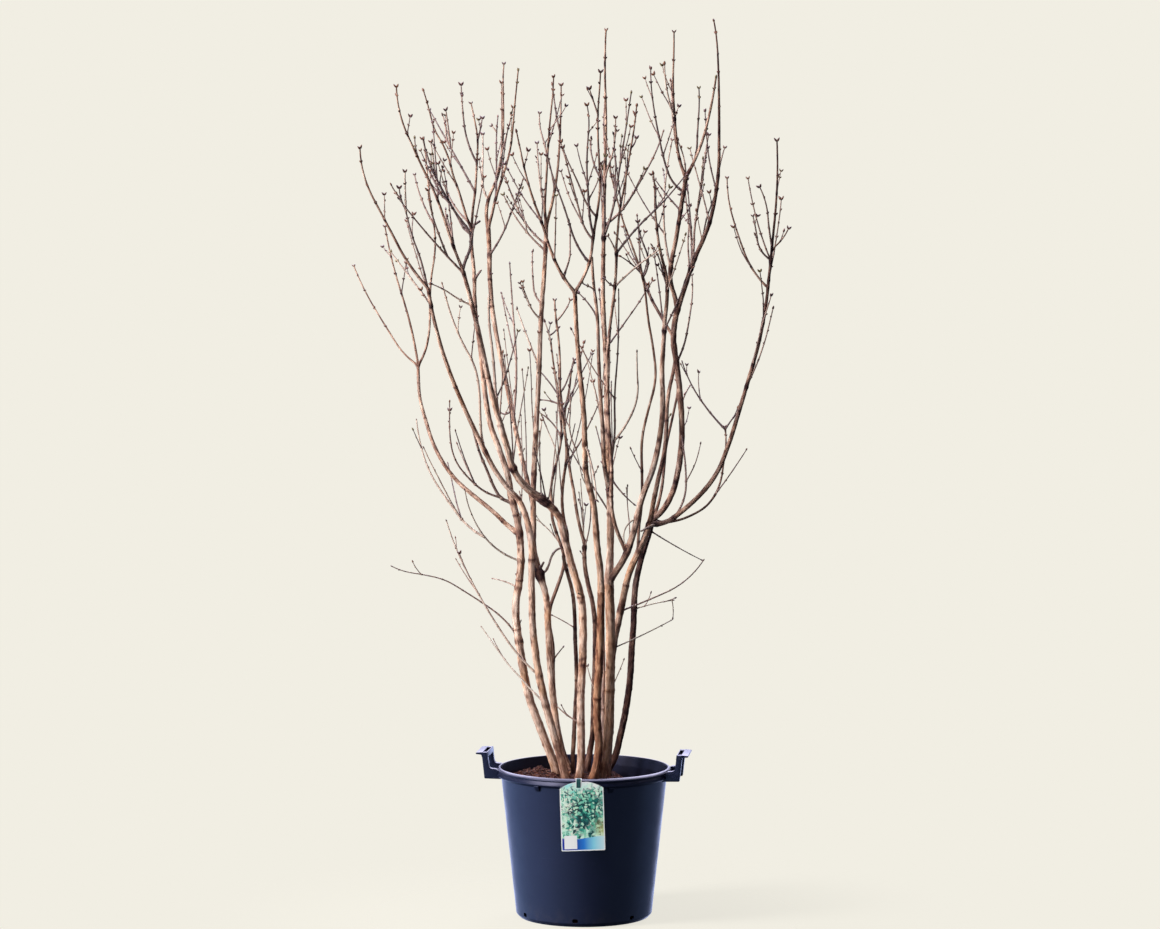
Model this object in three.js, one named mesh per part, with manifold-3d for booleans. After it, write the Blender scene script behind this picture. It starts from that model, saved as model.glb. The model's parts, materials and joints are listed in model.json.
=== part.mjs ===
// A leafless, many-stemmed lilac in a round nursery container.
// Units are millimetres, +Z is up, and the origin is the centre of the
// container's flat underside. -Y is the side the label hangs on.
import * as THREE from 'three';
import { mergeVertices } from 'three/addons/utils/BufferGeometryUtils.js';
import Module from 'manifold-3d';

const wasm = await Module();
wasm.setup();

// ---------------------------------------------------------------- dimensions
const GAP = 0.3;                 // clearance between neighbouring pieces
const POT_HEIGHT = 344.3;
const POT_BASE_RADIUS = 155.9;
const POT_BASE_CHAMFER = 8;
const POT_WALL = 3.2;
const POT_FLOOR = 4;
const POT_SHOULDER_RADIUS = 190.6; // body just under the rim
const RIM_OUTER_RADIUS = 200;
const RIM_INNER_RADIUS = 194.6;
const RIM_SKIRT = 15;            // height of the rim's outer band
const POT_SEGMENTS = 48;
const DRAIN_COUNT = 7;           // slots round the foot, gussets half-way between
const DRAIN_FIRST_DEG = -59;
const DRAIN_SIZE = [13, 9];      // width, height
const DRAIN_Z = 10.5;            // lower edge of a slot
const GUSSET_SIZE = [12, 14, 8]; // width, height, depth
const HANDLE_AZIMUTH_DEG = [173.5, -6.5]; // left and right, on one diameter
const HANDLE_SPAN = 101;         // outside of one arm to outside of the other
const HANDLE_ARM = 13.5;         // arm width along the rim
const HANDLE_DEPTH = 14;         // strap depth, away from the pot
const HANDLE_FOOT_Z = 319.5;
const HANDLE_TOP_Z = 380.5;
const HANDLE_FOOT_RADIUS = 210;  // inner face of the arm at its foot
const HANDLE_TOP_RADIUS = 217;   // and at the grip, so the strap leans out
const GRIP_HEIGHT = 12;
const FLANGE = [13, 4.5];        // lip on the grip: reach, thickness
const SOIL_LEVEL = 314.3;
const SOIL_FLAT_RADIUS = 142;    // level patch that the stems stand on
const SOIL_DIP = 7;
const LABEL_SIZE = [98, 155, 1.4];
const LABEL_CENTRE = [-4, -203.2, 261.5];
const LABEL_SWING_DEG = 1.9;     // hangs slightly askew
const LABEL_SHOULDER = 14;       // how far the arched top edge falls to the corners
const TONGUE = [13, -12.5];      // width, middle
const LIMB_SIDES = 6;
const RING_SPACING = 72;         // distance between rings along a limb
const ROOT_FLARE = 0.42;         // extra girth at ground level
const FLARE_HEIGHT = 26;
const WALK_STEPS = 96;

// ---------------------------------------------------------------- the plant
// Every limb grows from a point `at` (0 foot, 1 end) on its parent, or from a
// spot [x, y] on the soil. It is `length` long, tapers from radius `from` to
// radius `to`, and turns evenly through the `sway` angles (degrees from
// upright towards +X) and the `reach` angles (degrees towards +Y).
const limbs = [
  ['stem_1', null, [-60, 50], 668, 9.7, 7.4, [-18.4, -20.9, -21.1, -12.1, -8.1, -7.2, 11.7, 0.1, -8.2, -20.3], [-1.1, -1.9, -2.5, -3.1]],
  ['stem_2', null, [-39, -20], 664, 9.1, 6.3, [-15.9, -16, -10, -1.5, 1, -28.9], [-0.6, -1.1, -1.5, -1.9]],
  ['stem_3', null, [-43, 20], 577, 8, 6.8, [-7.8, -11.7, -7.3, -5.7, -4.2, -3, -1.7, -18.5, -13.5, 6.2], [2.2, 3.9, 5.2, 6.4]],
  ['stem_4', null, [-28, 110], 608, 5.1, 3.4, [-28.1, -13.1, -8, -3.3, 1.1, -12.3, 20.1, 18.9, -22.4, -13.4], [1.1, 2.4, 3.5, 4]],
  ['stem_5', null, [-24, 75], 509, 5.1, 4, [-6.4, 3.8, 2.4, 4.4, -0.9, -3, -0.6, -4.7, -16.7, -13], [0.8, 2, 2.6, 3.4]],
  ['stem_6', null, [-12, -30], 615, 9.1, 8, [9.2, -0.6, -1.3, 3.9, 1.1, -1.7, -18, -13.8, -13], [-1.8, -3.7, -4.9, -6.1]],
  ['stem_7', null, [7, 120], 535, 6.8, 4.6, [6.2, 11.2, 0.3, 2, 1.7, 0.9, -4.1, -15.2, -7.5, 5], [2, 4.3, 5.7, 7]],
  ['stem_8', null, [18, -50], 452, 9.1, 8, [19.9, -5.1, 3.9, 1.7, 0.1], [-1.8, -4, -5.2, -6.4]],
  ['stem_9', null, [36, 0], 461, 10.8, 10.3, [15.1, 1.5, 0.4, -3.4], [-0.3, -0.5, -0.7, -0.9]],
  ['stem_10', null, [52, 60], 604, 8.5, 6.8, [4.1, 4.5, -0.4, 3.3, 12.9, 10.7, 26.6, 16.1], [-0.2, -0.4, -0.6, -0.7]],
  ['stem_11', null, [51, 110], 602, 8, 6.3, [38.8, 12.2, 12, 6.5, 2.8, 4.1, 1.1, 11.5, 18.1, 13.1], [0.9, 2.1, 2.8, 3.5]],
  ['bough_left_1', 'stem_1', 1, 625, 6.8, 3.4, [-1.8, -18.3, -21.6, -8.6, -5.2, -7.9, -7.2, 0.3, -7, 3.1], [3.1, 5.7, 7.5, 9.3]],
  ['bough_left_2', 'stem_2', 1, 551, 5.7, 3.6, [-46, -26.1, -24, -19.9, -13.5, -7.2], [-8.6, -15.6, -20.2, -24.4]],
  ['bough_left_4', 'stem_1', 0.865, 505, 5.1, 3.4, [-58.9, -45.9, -53, -51.2, -38.8, -27.4, -18.4, -16.9, -4.6, -0.9], [16.1, 19.1, 21.7, 24.4]],
  ['bough_left_5', 'stem_6', 1, 209, 8.5, 7.1, [-31, -57.4, -33.1, -5.5], [-8.2, -15, -19.9, -22.2]],
  ['bough_left_6', 'bough_left_5', 1, 437, 7.1, 4.1, [-17.7, -10.7, -14.8], [-8, -16.7, -22.6]],
  ['bough_left_7', 'stem_3', 1, 712, 6.4, 4.6, [-1.3, 2.6, 3.1, 1.7, 4.6, 0.6], [4.9, 9.1, 11.7, 14.2]],
  ['bough_left_8', 'stem_3', 0.99, 758, 4.8, 4.1, [7.1, -13.7, -14.2, -12.4, -11.4, -12.8, -10.3, -5.2, -0.6, -4.8], [24.5, 19.7, 17.5, 14.5]],
  ['crown_left_1', 'bough_left_2', 1, 353, 3.3, 1.6, [-42.2, -26.9, -27.3, -0.5], [-5.6, -10.2, -13.5, -16.1]],
  ['crown_left_2', 'bough_left_4', 1, 348, 2.8, 1.5, [-8.4, -18.8, -10.6], [8.1, 16.8, 21.8]],
  ['crown_left_3', 'bough_left_4', 1, 543, 2.7, 1.4, [33.5, 11, 0.1, 2.9, 11.1, -0.9, -9.3, -5.7, -3.4, -9.6], [-5.5, -10.2, -13.7, -17.2]],
  ['crown_left_4', 'bough_left_6', 1, 445, 3.3, 1.5, [-22.5, -16.6, -25.7, -22.8, -0.1], [-8.8, -16.4, -21.6, -25.7]],
  ['crown_left_6', 'bough_left_1', 1, 339, 3, 1.5, [-28.7, -16.3, -16.3, -20.2, -12.6, -22.3, -31.6, -13.9, -14.1, -17.6], [-5.5, -9.3, -13.6, -15.5]],
  ['crown_left_7', 'bough_left_1', 1, 313, 3.2, 1.5, [-0.7, 8.1, 1.8, 3.2, -11.7, -12.7], [9.8, 18.1, 22.7, 26]],
  ['crown_left_8', 'bough_left_8', 1, 412, 4.1, 1.5, [-15.1, 7.5, 27.1, 12.6, 4.3, 2.1, 0, -1.3, -0.5, 4.9], [8.3, 15.9, 19.4, 23]],
  ['crown_left_9', 'bough_left_8', 1, 378, 3.3, 1.5, [23.1, 11.4, 18.6, 17.7, 15.5, 7.5, 4.8, 5.6, 6.4, 5.4], [-4.9, -9.8, -12, -14.7]],
  ['bough_mid_1', 'bough_left_7', 1, 349, 3.6, 1.5, [16.6, 3.5, -0.1], [8.6, 17.7, 22.7]],
  ['bough_mid_2', 'bough_left_7', 1, 356, 3.2, 1.5, [-7.2, 4.2, 3, 4.4, 6.7, 1.8], [-7.9, -14.5, -18.9, -22.9]],
  ['bough_mid_3', 'stem_5', 1, 607, 3.9, 2.1, [27, -15.7, 0.5, 10.7, -6.2, -9.6, 0.9, -2.2, -8.4, -2.2], [5.3, 10.5, 13.1, 15.7]],
  ['bough_mid_4', 'stem_7', 1, 467, 3.9, 2.1, [-20.1, -12.4, -7.4, -12.2, -4.9, -10.5, 2.9, 14, 3.9, 17.9], [11.7, 20.5, 26.7, 30.5]],
  ['bough_mid_5', 'stem_4', 1, 444, 3.4, 1.9, [-1.6, -3.6, 13.8, 15.2, 2.9, -6.5, -6.7, -10, -7.8, -7.1], [10.3, 19.9, 24.2, 28.5]],
  ['bough_mid_6', 'stem_8', 1, 693, 7.4, 4.3, [-1.3, -8, -2.3, -16.8, -0.1, -2.3, -6.3, -4.9, -2.9, -1.9], [-8.8, -11.3, -13.4, -16.3]],
  ['bough_mid_7', 'bough_mid_6', 1, 397, 3.8, 1.5, [-44.8, -28.9, -21.4, -15.9, -21.4, -17.5, -13.5, -11.2, -11.9], [-9.1, -17.5, -22.5, -27.1]],
  ['bough_mid_8', 'bough_mid_6', 1, 494, 3.4, 1.5, [35.7, 21.2, 5.3, 10.7, 5.5, -3.5, -2.9, 0.2, 4.7, 2.3], [-3.4, -7, -8.9, -10.9]],
  ['trunk_1', 'stem_9', 1, 1253, 8.4, 1.7, [3.9, -1, -2.8, -0.1, -4.1, 1, 0.9, 1.7, -1.9, 3], [1.1, 1.4, 1.7, 2.1]],
  ['bough_mid_9', 'trunk_1', 0.167, 546, 5, 3, [-18, -1.2, -4.3, -2.7, -0.9, -7.8, -1.7], [-19.2, -14.5, -12.6, -9]],
  ['bough_right_1', 'stem_9', 1, 489, 7.4, 5.5, [41.2, 22, 9.8, 22.7, 10.8, 4.2, -5.2], [-11.8, -9.2, -7.1, -5.1]],
  ['bough_mid_10', 'bough_right_1', 0.167, 727, 4.3, 3, [-33.1, -13.3, 3.7, -5.6, -1.9, -2.4, 3.3, 7.7, 5.1, -2.3], [-16, -15, -15.6, -15.6]],
  ['bough_mid_11', 'bough_mid_10', 1, 350, 2.7, 1.5, [5.7, 4.3, 12, 8.8, 9.7, 7.6, 4.8], [-13.4, -25.2, -32, -37.1]],
  ['bough_right_2', 'bough_right_1', 1, 480, 5.5, 1.5, [-1.1, 3.8, 2.2, 6.6, -0.9, -17.6, -8.8, -5.8, -0.6, -8.3], [-6.3, -12.5, -16.1, -19.9]],
  ['bough_right_3', 'stem_10', 1, 590, 5.5, 3.1, [9.2, 11.5, 15, 3.5, 2.1, 14.2, 8.9, -30.6, -30, -20.6], [9.1, 16.3, 21.7, 25.2]],
  ['bough_right_4', 'stem_11', 1, 520, 6.6, 6.2, [53.7, 27.4, 11, 6.7, -0.9, -4.6, -6.2, -10.3, 4.8, 17.8], [-1.1, -1.9, -2.5, -3.1]],
  ['bough_right_5', 'bough_right_4', 1, 666, 5.7, 1.6, [18.5, 17.6, 25.8, 13.3, 6.3, -0.5, -0.2, -1.5, -3, -11.3], [-1.8, -3.4, -4.5, -5.6]],
  ['bough_right_6', 'bough_right_4', 0.979, 339, 5, 4.6, [-9.5, -18.6, 4.1, 12.2, 8.3, 7.8, 8.7, 6], [-12.4, -22.4, -28.3, -33.6]],
  ['bough_right_7', 'bough_right_6', 1, 330, 3.6, 1.6, [-24.1, -5.3, -4, 2.1, -0.3], [-1.3, -2.4, -3.2, -3.8]],
  ['bough_right_8', 'bough_right_6', 1, 263, 3.6, 2.1, [30.1, 13.1, 6.3], [-15.5, -30.4, -38.7]],
  ['bough_right_9', 'stem_10', 0.99, 317, 5.5, 4.8, [98.3, 50.5, 45.7, 33.6, 18.8, 17.4], [-10.2, -18.7, -23.4, -27.6]],
  ['bough_right_10', 'bough_right_9', 1, 684, 4.9, 1.7, [16.4, 15.9, 5.1, 4.6, -3.5], [-4.5, -8.5, -11.4, -14]],
  ['bough_right_11', 'bough_right_10', 0.594, 90, 2.2, 1.4, [-6.6, 47, 24.2], [3.4, 7, 9.4]],
  ['bough_right_12', 'bough_right_10', 0.51, 288, 2.6, 1.4, [-46.9, -20.3, -14.8, 1.4], [10.5, 18.5, 23.7, 27.3]],
  ['bough_right_13', 'stem_11', 1, 364, 3, 1.8, [114, 84, 71.1, 61.1, 39.4, 21.4, 8.9, 11.3, 1.1, -5.8], [12.9, 22.7, 29.9, 34.7]],
  ['bough_right_14', 'stem_10', 0.875, 684, 3.4, 2.3, [-4.3, 8.1, -0.5, -2.3, 12.4, 15.3, -6.5, -11.1, -5.4, -15], [-8.6, -15.5, -20.5, -24.7]],
  ['bough_right_15', 'stem_11', 1, 463, 3.6, 2.3, [25, 14, 6.7, 4.6, 14.2, 13.4, 13.4, -4.7, -10.6, -8.2], [13.8, 25.2, 31.3, 36.6]],
  ['crown_left_10', 'bough_left_4', 1, 317, 2.1, 1.4, [-57.9, -33.1, -33.5, -29.4, -23], [13.8, 24.4, 30.3, 34.9]],
  ['bough_right_17', 'bough_right_3', 1, 358, 2.7, 1.5, [-17.9, -19.4, -20.2, -14, -13.7, 3.5], [13.8, 24.5, 31, 35.6]],
];

const rad = THREE.MathUtils.degToRad;
const lerp = THREE.MathUtils.lerp;
function along(list, t) {
  const x = t * (list.length - 1), i = Math.min(Math.floor(x), list.length - 2);
  return lerp(list[i], list[i + 1], x - i);
}
const grown = new Map();
function walk(limb) {
  const [name, parent, at, length, from, to, sway, reach] = limb;
  const p = parent ? pointOn(grown.get(parent), at) : new THREE.Vector3(at[0], at[1], SOIL_LEVEL + GAP);
  const path = [p.clone()];
  for (let i = 0; i < WALK_STEPS; i++) {
    const t = (i + 0.5) / WALK_STEPS;
    const a = rad(along(sway, t)), b = rad(along(reach, t));
    p.add(new THREE.Vector3(Math.sin(a) * Math.cos(b), Math.sin(b), Math.cos(a) * Math.cos(b))
      .multiplyScalar(length / WALK_STEPS));
    path.push(p.clone());
  }
  grown.set(name, { name, parent, length, from, to, path });
  return grown.get(name);
}
function pointOn(limb, t) {
  const x = t * WALK_STEPS, i = Math.min(Math.floor(x), WALK_STEPS - 1);
  return limb.path[i].clone().lerp(limb.path[i + 1], x - i);
}
// distance along the limb -> centre point, running straight on past both ends
function centre(limb, s) {
  if (s < 0) return limb.path[0].clone().addScaledVector(limb.path[1].clone().sub(limb.path[0]).normalize(), s);
  if (s > limb.length) {
    const n = limb.path.length;
    return limb.path[n - 1].clone().addScaledVector(limb.path[n - 1].clone().sub(limb.path[n - 2]).normalize(), s - limb.length);
  }
  return pointOn(limb, s / limb.length);
}
function girth(limb, s) {
  const r = lerp(limb.from, limb.to, THREE.MathUtils.clamp(s / limb.length, 0, 1));
  return limb.parent ? r : r * (1 + ROOT_FLARE * Math.exp(-Math.max(s, 0) / FLARE_HEIGHT));
}
function rings(limb, extra) {
  const list = limb.parent ? [0] : [-16, 0, 12, 34];
  const first = list[list.length - 1];
  const n = THREE.MathUtils.clamp(Math.round((limb.length - first) / RING_SPACING), 3, 14);
  for (let i = 1; i <= n; i++) list.push(first + (limb.length - first) * i / n);
  list[0] -= extra;
  list[list.length - 1] += extra;
  return list;
}
// a closed cylinder bent and tapered along the limb
function limbGeometry(limb, extra = 0) {
  const at = rings(limb, extra);
  const g = new THREE.CylinderGeometry(1, 1, 1, LIMB_SIDES, at.length - 1, false);
  const frames = [];
  let side = new THREE.Vector3(0, -1, 0);
  for (let i = 0; i < at.length; i++) {
    const c = centre(limb, at[i]);
    const t = centre(limb, at[i] + 4).sub(centre(limb, at[i] - 4)).normalize();
    side = side.clone().addScaledVector(t, -side.dot(t)).normalize();
    frames.push({ c, side, up: new THREE.Vector3().crossVectors(t, side), r: girth(limb, at[i]) + extra * 1.16 });
  }
  const pos = g.attributes.position;
  for (let k = 0; k < pos.count; k++) {
    const i = Math.round((pos.getY(k) + 0.5) * (at.length - 1));
    const f = frames[i];
    const v = f.c.clone().addScaledVector(f.up, pos.getX(k) * f.r).addScaledVector(f.side, pos.getZ(k) * f.r);
    pos.setXYZ(k, v.x, v.y, v.z);
  }
  return g;
}

// ---------------------------------------------------------------- solids
function clean(geometry) {
  const g = geometry.index ? geometry.clone() : geometry;
  g.deleteAttribute('normal');
  g.deleteAttribute('uv');
  const m = mergeVertices(g, 1e-4);
  const src = m.index.array, keep = [];
  for (let i = 0; i < src.length; i += 3) {
    const [a, b, c] = [src[i], src[i + 1], src[i + 2]];
    if (a !== b && b !== c && c !== a) keep.push(a, b, c);
  }
  const p = m.attributes.position, v = [0, 1, 2].map(() => new THREE.Vector3());
  let volume = 0;
  for (let i = 0; i < keep.length; i += 3) {
    v.forEach((q, k) => q.fromBufferAttribute(p, keep[i + k]));
    volume += v[0].dot(v[1].clone().cross(v[2]));
  }
  if (volume < 0) for (let i = 0; i < keep.length; i += 3) [keep[i], keep[i + 1]] = [keep[i + 1], keep[i]];
  m.setIndex(keep);
  return m;
}
function solid(geometry) {
  const m = clean(geometry);
  return new wasm.Manifold(new wasm.Mesh({
    numProp: 3,
    vertProperties: new Float32Array(m.attributes.position.array),
    triVerts: new Uint32Array(m.index.array),
  }));
}
function largest(manifold) {
  const parts = manifold.decompose();
  return parts.reduce((a, b) => (b.volume() > a.volume() ? b : a));
}
function geometryOf(manifold) {
  const mesh = manifold.getMesh();
  const g = new THREE.BufferGeometry();
  g.setAttribute('position', new THREE.BufferAttribute(new Float32Array(mesh.vertProperties), 3));
  g.setIndex(Array.from(mesh.triVerts));
  const out = mergeVertices(g, 1e-3);
  const keep = [], src = out.index.array;
  for (let i = 0; i < src.length; i += 3) {
    if (src[i] !== src[i + 1] && src[i + 1] !== src[i + 2] && src[i + 2] !== src[i]) keep.push(src[i], src[i + 1], src[i + 2]);
  }
  out.setIndex(keep);
  out.computeVertexNormals();
  return out;
}
const finish = {
  bark: { color: 0xa87f6d, roughness: 0.82, metalness: 0 },
  bark_dark: { color: 0x5b423c, roughness: 0.85, metalness: 0 },
  plastic: { color: 0x1b2238, roughness: 0.38, metalness: 0 },
  soil: { color: 0x4a2f24, roughness: 1, metalness: 0 },
  card: { color: 0x9fc3a4, roughness: 0.5, metalness: 0 },
};
const group = new THREE.Group();
function piece(name, manifold, look) {
  const mesh = new THREE.Mesh(geometryOf(manifold), new THREE.MeshStandardMaterial(finish[look]));
  mesh.name = name;
  group.add(mesh);
}
const upright = (g) => g.rotateX(Math.PI / 2);
const lathe = (points, segments) => upright(new THREE.LatheGeometry(points.map(([r, z]) => new THREE.Vector2(r, z)), segments));
const place = (g, azimuthDeg, r, z) => g.translate(r, 0, z).rotateZ(rad(azimuthDeg));

// ---------------------------------------------------------------- container
// outer wall radius at a height, and the inner wall that follows it
const outerAt = (z) => lerp(POT_BASE_RADIUS, POT_SHOULDER_RADIUS,
  THREE.MathUtils.clamp((z - POT_BASE_CHAMFER) / (POT_HEIGHT - RIM_SKIRT - POT_BASE_CHAMFER), 0, 1));
const skirtZ = POT_HEIGHT - RIM_SKIRT;
const outerProfile = (grow) => [
  [0, -grow], [POT_BASE_RADIUS - POT_BASE_CHAMFER, -grow], [POT_BASE_RADIUS + grow, POT_BASE_CHAMFER],
  [POT_SHOULDER_RADIUS + grow, skirtZ - grow], [RIM_OUTER_RADIUS - 0.5 + grow, skirtZ - grow],
  [RIM_OUTER_RADIUS + grow, skirtZ + 1.5], [RIM_OUTER_RADIUS + grow, POT_HEIGHT - 1], [RIM_OUTER_RADIUS - 1, POT_HEIGHT + grow],
];
const cavity = [
  [RIM_INNER_RADIUS + 0.9, POT_HEIGHT], [RIM_INNER_RADIUS, POT_HEIGHT - 1], [RIM_INNER_RADIUS - 3, POT_HEIGHT - 10],
  [outerAt(skirtZ - 3) - POT_WALL, skirtZ - 3], [outerAt(9) - POT_WALL, 9], [outerAt(9) - POT_WALL - 4, POT_FLOOR], [0, POT_FLOOR],
];
let pot = solid(lathe([...outerProfile(0), ...cavity], POT_SEGMENTS));
for (let i = 0; i < DRAIN_COUNT; i++) {
  const turn = DRAIN_FIRST_DEG - 90 + 360 * i / DRAIN_COUNT;
  const slot = place(new THREE.BoxGeometry(24, DRAIN_SIZE[0], DRAIN_SIZE[1]), turn, POT_BASE_RADIUS - 2, DRAIN_Z + DRAIN_SIZE[1] / 2);
  pot = pot.subtract(solid(slot));
  // a wedge that stiffens the rim, let into the wall; a handle's bracket takes its place where they would meet
  const wedgeTurn = turn + 180 / DRAIN_COUNT;
  if (HANDLE_AZIMUTH_DEG.some((h) => Math.abs(((wedgeTurn - h + 540) % 360) - 180) < 17)) continue;
  const wedge = new THREE.Shape([[-2.2, 0], [GUSSET_SIZE[2], 0], [GUSSET_SIZE[2], -3], [-1.2, -GUSSET_SIZE[1]]].map(([x, y]) => new THREE.Vector2(x, y)));
  const gusset = new THREE.ExtrudeGeometry(wedge, { depth: GUSSET_SIZE[0], bevelEnabled: false })
    .translate(0, 0, -GUSSET_SIZE[0] / 2);
  pot = pot.add(solid(place(upright(gusset), wedgeTurn, POT_SHOULDER_RADIUS, skirtZ + 0.4)));
}
piece('pot', pot, 'plastic');

// lifting handles: a strap bent to an upside-down U, with brackets to the rim
const potEnvelope = solid(lathe([...outerProfile(GAP), [0, POT_HEIGHT + GAP]], POT_SEGMENTS));
function handle(azimuthDeg) {
  const lean = (z) => lerp(HANDLE_FOOT_RADIUS, HANDLE_TOP_RADIUS, (z - HANDLE_FOOT_Z) / (HANDLE_TOP_Z - HANDLE_FOOT_Z));
  const slab = (points, width, middle) => {
    const g = new THREE.ExtrudeGeometry(new THREE.Shape(points.map(([x, y]) => new THREE.Vector2(x, y))), { depth: width, bevelEnabled: false });
    return solid(upright(g.translate(0, 0, -width / 2)).translate(0, middle, 0).rotateZ(rad(azimuthDeg)));
  };
  const gripZ = HANDLE_TOP_Z - GRIP_HEIGHT;
  const armMiddle = (HANDLE_SPAN - HANDLE_ARM) / 2;
  let body = slab([
    [lean(gripZ), gripZ], [lean(gripZ) + HANDLE_DEPTH, gripZ], [lean(HANDLE_TOP_Z) + HANDLE_DEPTH, HANDLE_TOP_Z - FLANGE[1] - 2],
    [lean(HANDLE_TOP_Z) + HANDLE_DEPTH + FLANGE[0], HANDLE_TOP_Z - FLANGE[1] - 1], [lean(HANDLE_TOP_Z) + HANDLE_DEPTH + FLANGE[0], HANDLE_TOP_Z - 1.5],
    [lean(HANDLE_TOP_Z), HANDLE_TOP_Z],
  ], HANDLE_SPAN, 0);
  for (const middle of [-armMiddle, armMiddle]) {
    body = body.add(slab([
      [RIM_OUTER_RADIUS - 14, HANDLE_FOOT_Z - 1], [lean(HANDLE_FOOT_Z) + HANDLE_DEPTH, HANDLE_FOOT_Z], [lean(HANDLE_TOP_Z) + HANDLE_DEPTH - 0.4, HANDLE_TOP_Z - 5],
      [lean(HANDLE_TOP_Z) + 0.4, HANDLE_TOP_Z - 5], [lean(POT_HEIGHT + 4), POT_HEIGHT + 4], [RIM_OUTER_RADIUS + 5, POT_HEIGHT - 3], [RIM_OUTER_RADIUS - 14, POT_HEIGHT - 4],
    ], HANDLE_ARM, middle));
  }
  return largest(body.subtract(potEnvelope));
}
piece('handle_left', handle(HANDLE_AZIMUTH_DEG[0]), 'plastic');
piece('handle_right', handle(HANDLE_AZIMUTH_DEG[1]), 'plastic');

// soil: fills the container to a level patch, uneven towards the wall
const soilRings = [0, 80, SOIL_FLAT_RADIUS, 158, 173, outerAt(SOIL_LEVEL) - POT_WALL - GAP - 0.6];
const soilGeometry = lathe([
  ...soilRings.map((r) => [r, SOIL_LEVEL]),
  [outerAt(9) - POT_WALL - GAP - 0.6, 9.4], [outerAt(9) - POT_WALL - GAP - 4.9, POT_FLOOR + GAP], [0, POT_FLOOR + GAP],
], POT_SEGMENTS);
{
  const p = soilGeometry.attributes.position;
  for (let i = 0; i < p.count; i++) {
    if (p.getZ(i) < SOIL_LEVEL - 1) continue;
    const x = p.getX(i), y = p.getY(i), r = Math.hypot(x, y);
    if (r < SOIL_FLAT_RADIUS + 1) continue;
    const wave = 0.5 + 0.25 * Math.sin(x / 17 + 1.3) + 0.25 * Math.cos(y / 21 - x / 40);
    p.setZ(i, SOIL_LEVEL - SOIL_DIP * wave * (r - SOIL_FLAT_RADIUS) / (POT_BASE_RADIUS - SOIL_FLAT_RADIUS + 30));
  }
}
piece('soil', solid(soilGeometry), 'soil');

// picture label: a card with an arched top edge, on a tongue hooked over the rim
{
  const [w, h, t] = LABEL_SIZE;
  const flat = w / 8;
  const topAt = (x) => h / 2 - LABEL_SHOULDER * Math.max(0, (Math.abs(x) - flat) / (w / 2 - flat)) ** 1.7;
  const card = new THREE.Shape();
  card.moveTo(-w / 2, -h / 2).lineTo(w / 2, -h / 2);
  for (let x = w / 2; x > -w / 2 - 1; x -= w / 16) card.lineTo(x, topAt(x));
  card.closePath();
  const sheet = upright(new THREE.ExtrudeGeometry(card, { depth: t, bevelEnabled: false, curveSegments: 4 }).translate(0, 0, -t / 2));
  sheet.rotateY(rad(-LABEL_SWING_DEG)).translate(...LABEL_CENTRE);
  // tongue: up from the card, over the rim's lip and down inside
  const y0 = LABEL_CENTRE[1], out = POT_HEIGHT + 2.4;
  const hook = new THREE.Shape([
    [y0 - t / 2, 318], [y0 + t / 2, 318], [y0 + t / 2, POT_HEIGHT + 0.8], [-RIM_INNER_RADIUS + 1.8, POT_HEIGHT + 0.8],
    [-RIM_INNER_RADIUS + 7, 331], [-RIM_INNER_RADIUS + 8.4, 331], [-RIM_INNER_RADIUS + 3.2, out], [y0 - t / 2, out],
  ].map(([a, b]) => new THREE.Vector2(a, b)));
  const tongue = new THREE.ExtrudeGeometry(hook, { depth: TONGUE[0], bevelEnabled: false }).translate(0, 0, -TONGUE[0] / 2);
  // the outline lies in the Y-Z plane, its thickness along X
  tongue.applyMatrix4(new THREE.Matrix4().makeBasis(new THREE.Vector3(0, 1, 0), new THREE.Vector3(0, 0, 1), new THREE.Vector3(1, 0, 0)));
  tongue.translate(TONGUE[1], 0, 0);
  piece('label', solid(sheet).add(solid(tongue)), 'card');
}

// ---------------------------------------------------------------- limbs
const ground = solid(new THREE.BoxGeometry(500, 500, 60).translate(0, 0, SOIL_LEVEL + GAP - 30));
const made = [];
for (const row of limbs) {
  const limb = walk(row);
  let body = solid(limbGeometry(limb));
  if (!limb.parent) body = body.subtract(ground);
  const box = new THREE.Box3().setFromPoints(limb.path).expandByScalar(limb.from * 2 + 2);
  // fitted against the limbs already grown, with the usual clearance
  for (const other of made) {
    if (!other.box.intersectsBox(box)) continue;
    if (body.intersect(other.sleeve).isEmpty()) continue;
    body = largest(body.subtract(other.sleeve));
  }
  piece(limb.name, body, row[0].startsWith('stem_1') && row[0].length > 6 ? 'bark_dark' : 'bark');
  made.push({ box, sleeve: solid(limbGeometry(limb, GAP)) });
}

export default group;
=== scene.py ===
# A leafless, many-stemmed lilac in a round nursery container: the finished surfaces.
import json
import math

import bmesh
import bpy
import numpy as np
from mathutils import Matrix, Vector

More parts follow.
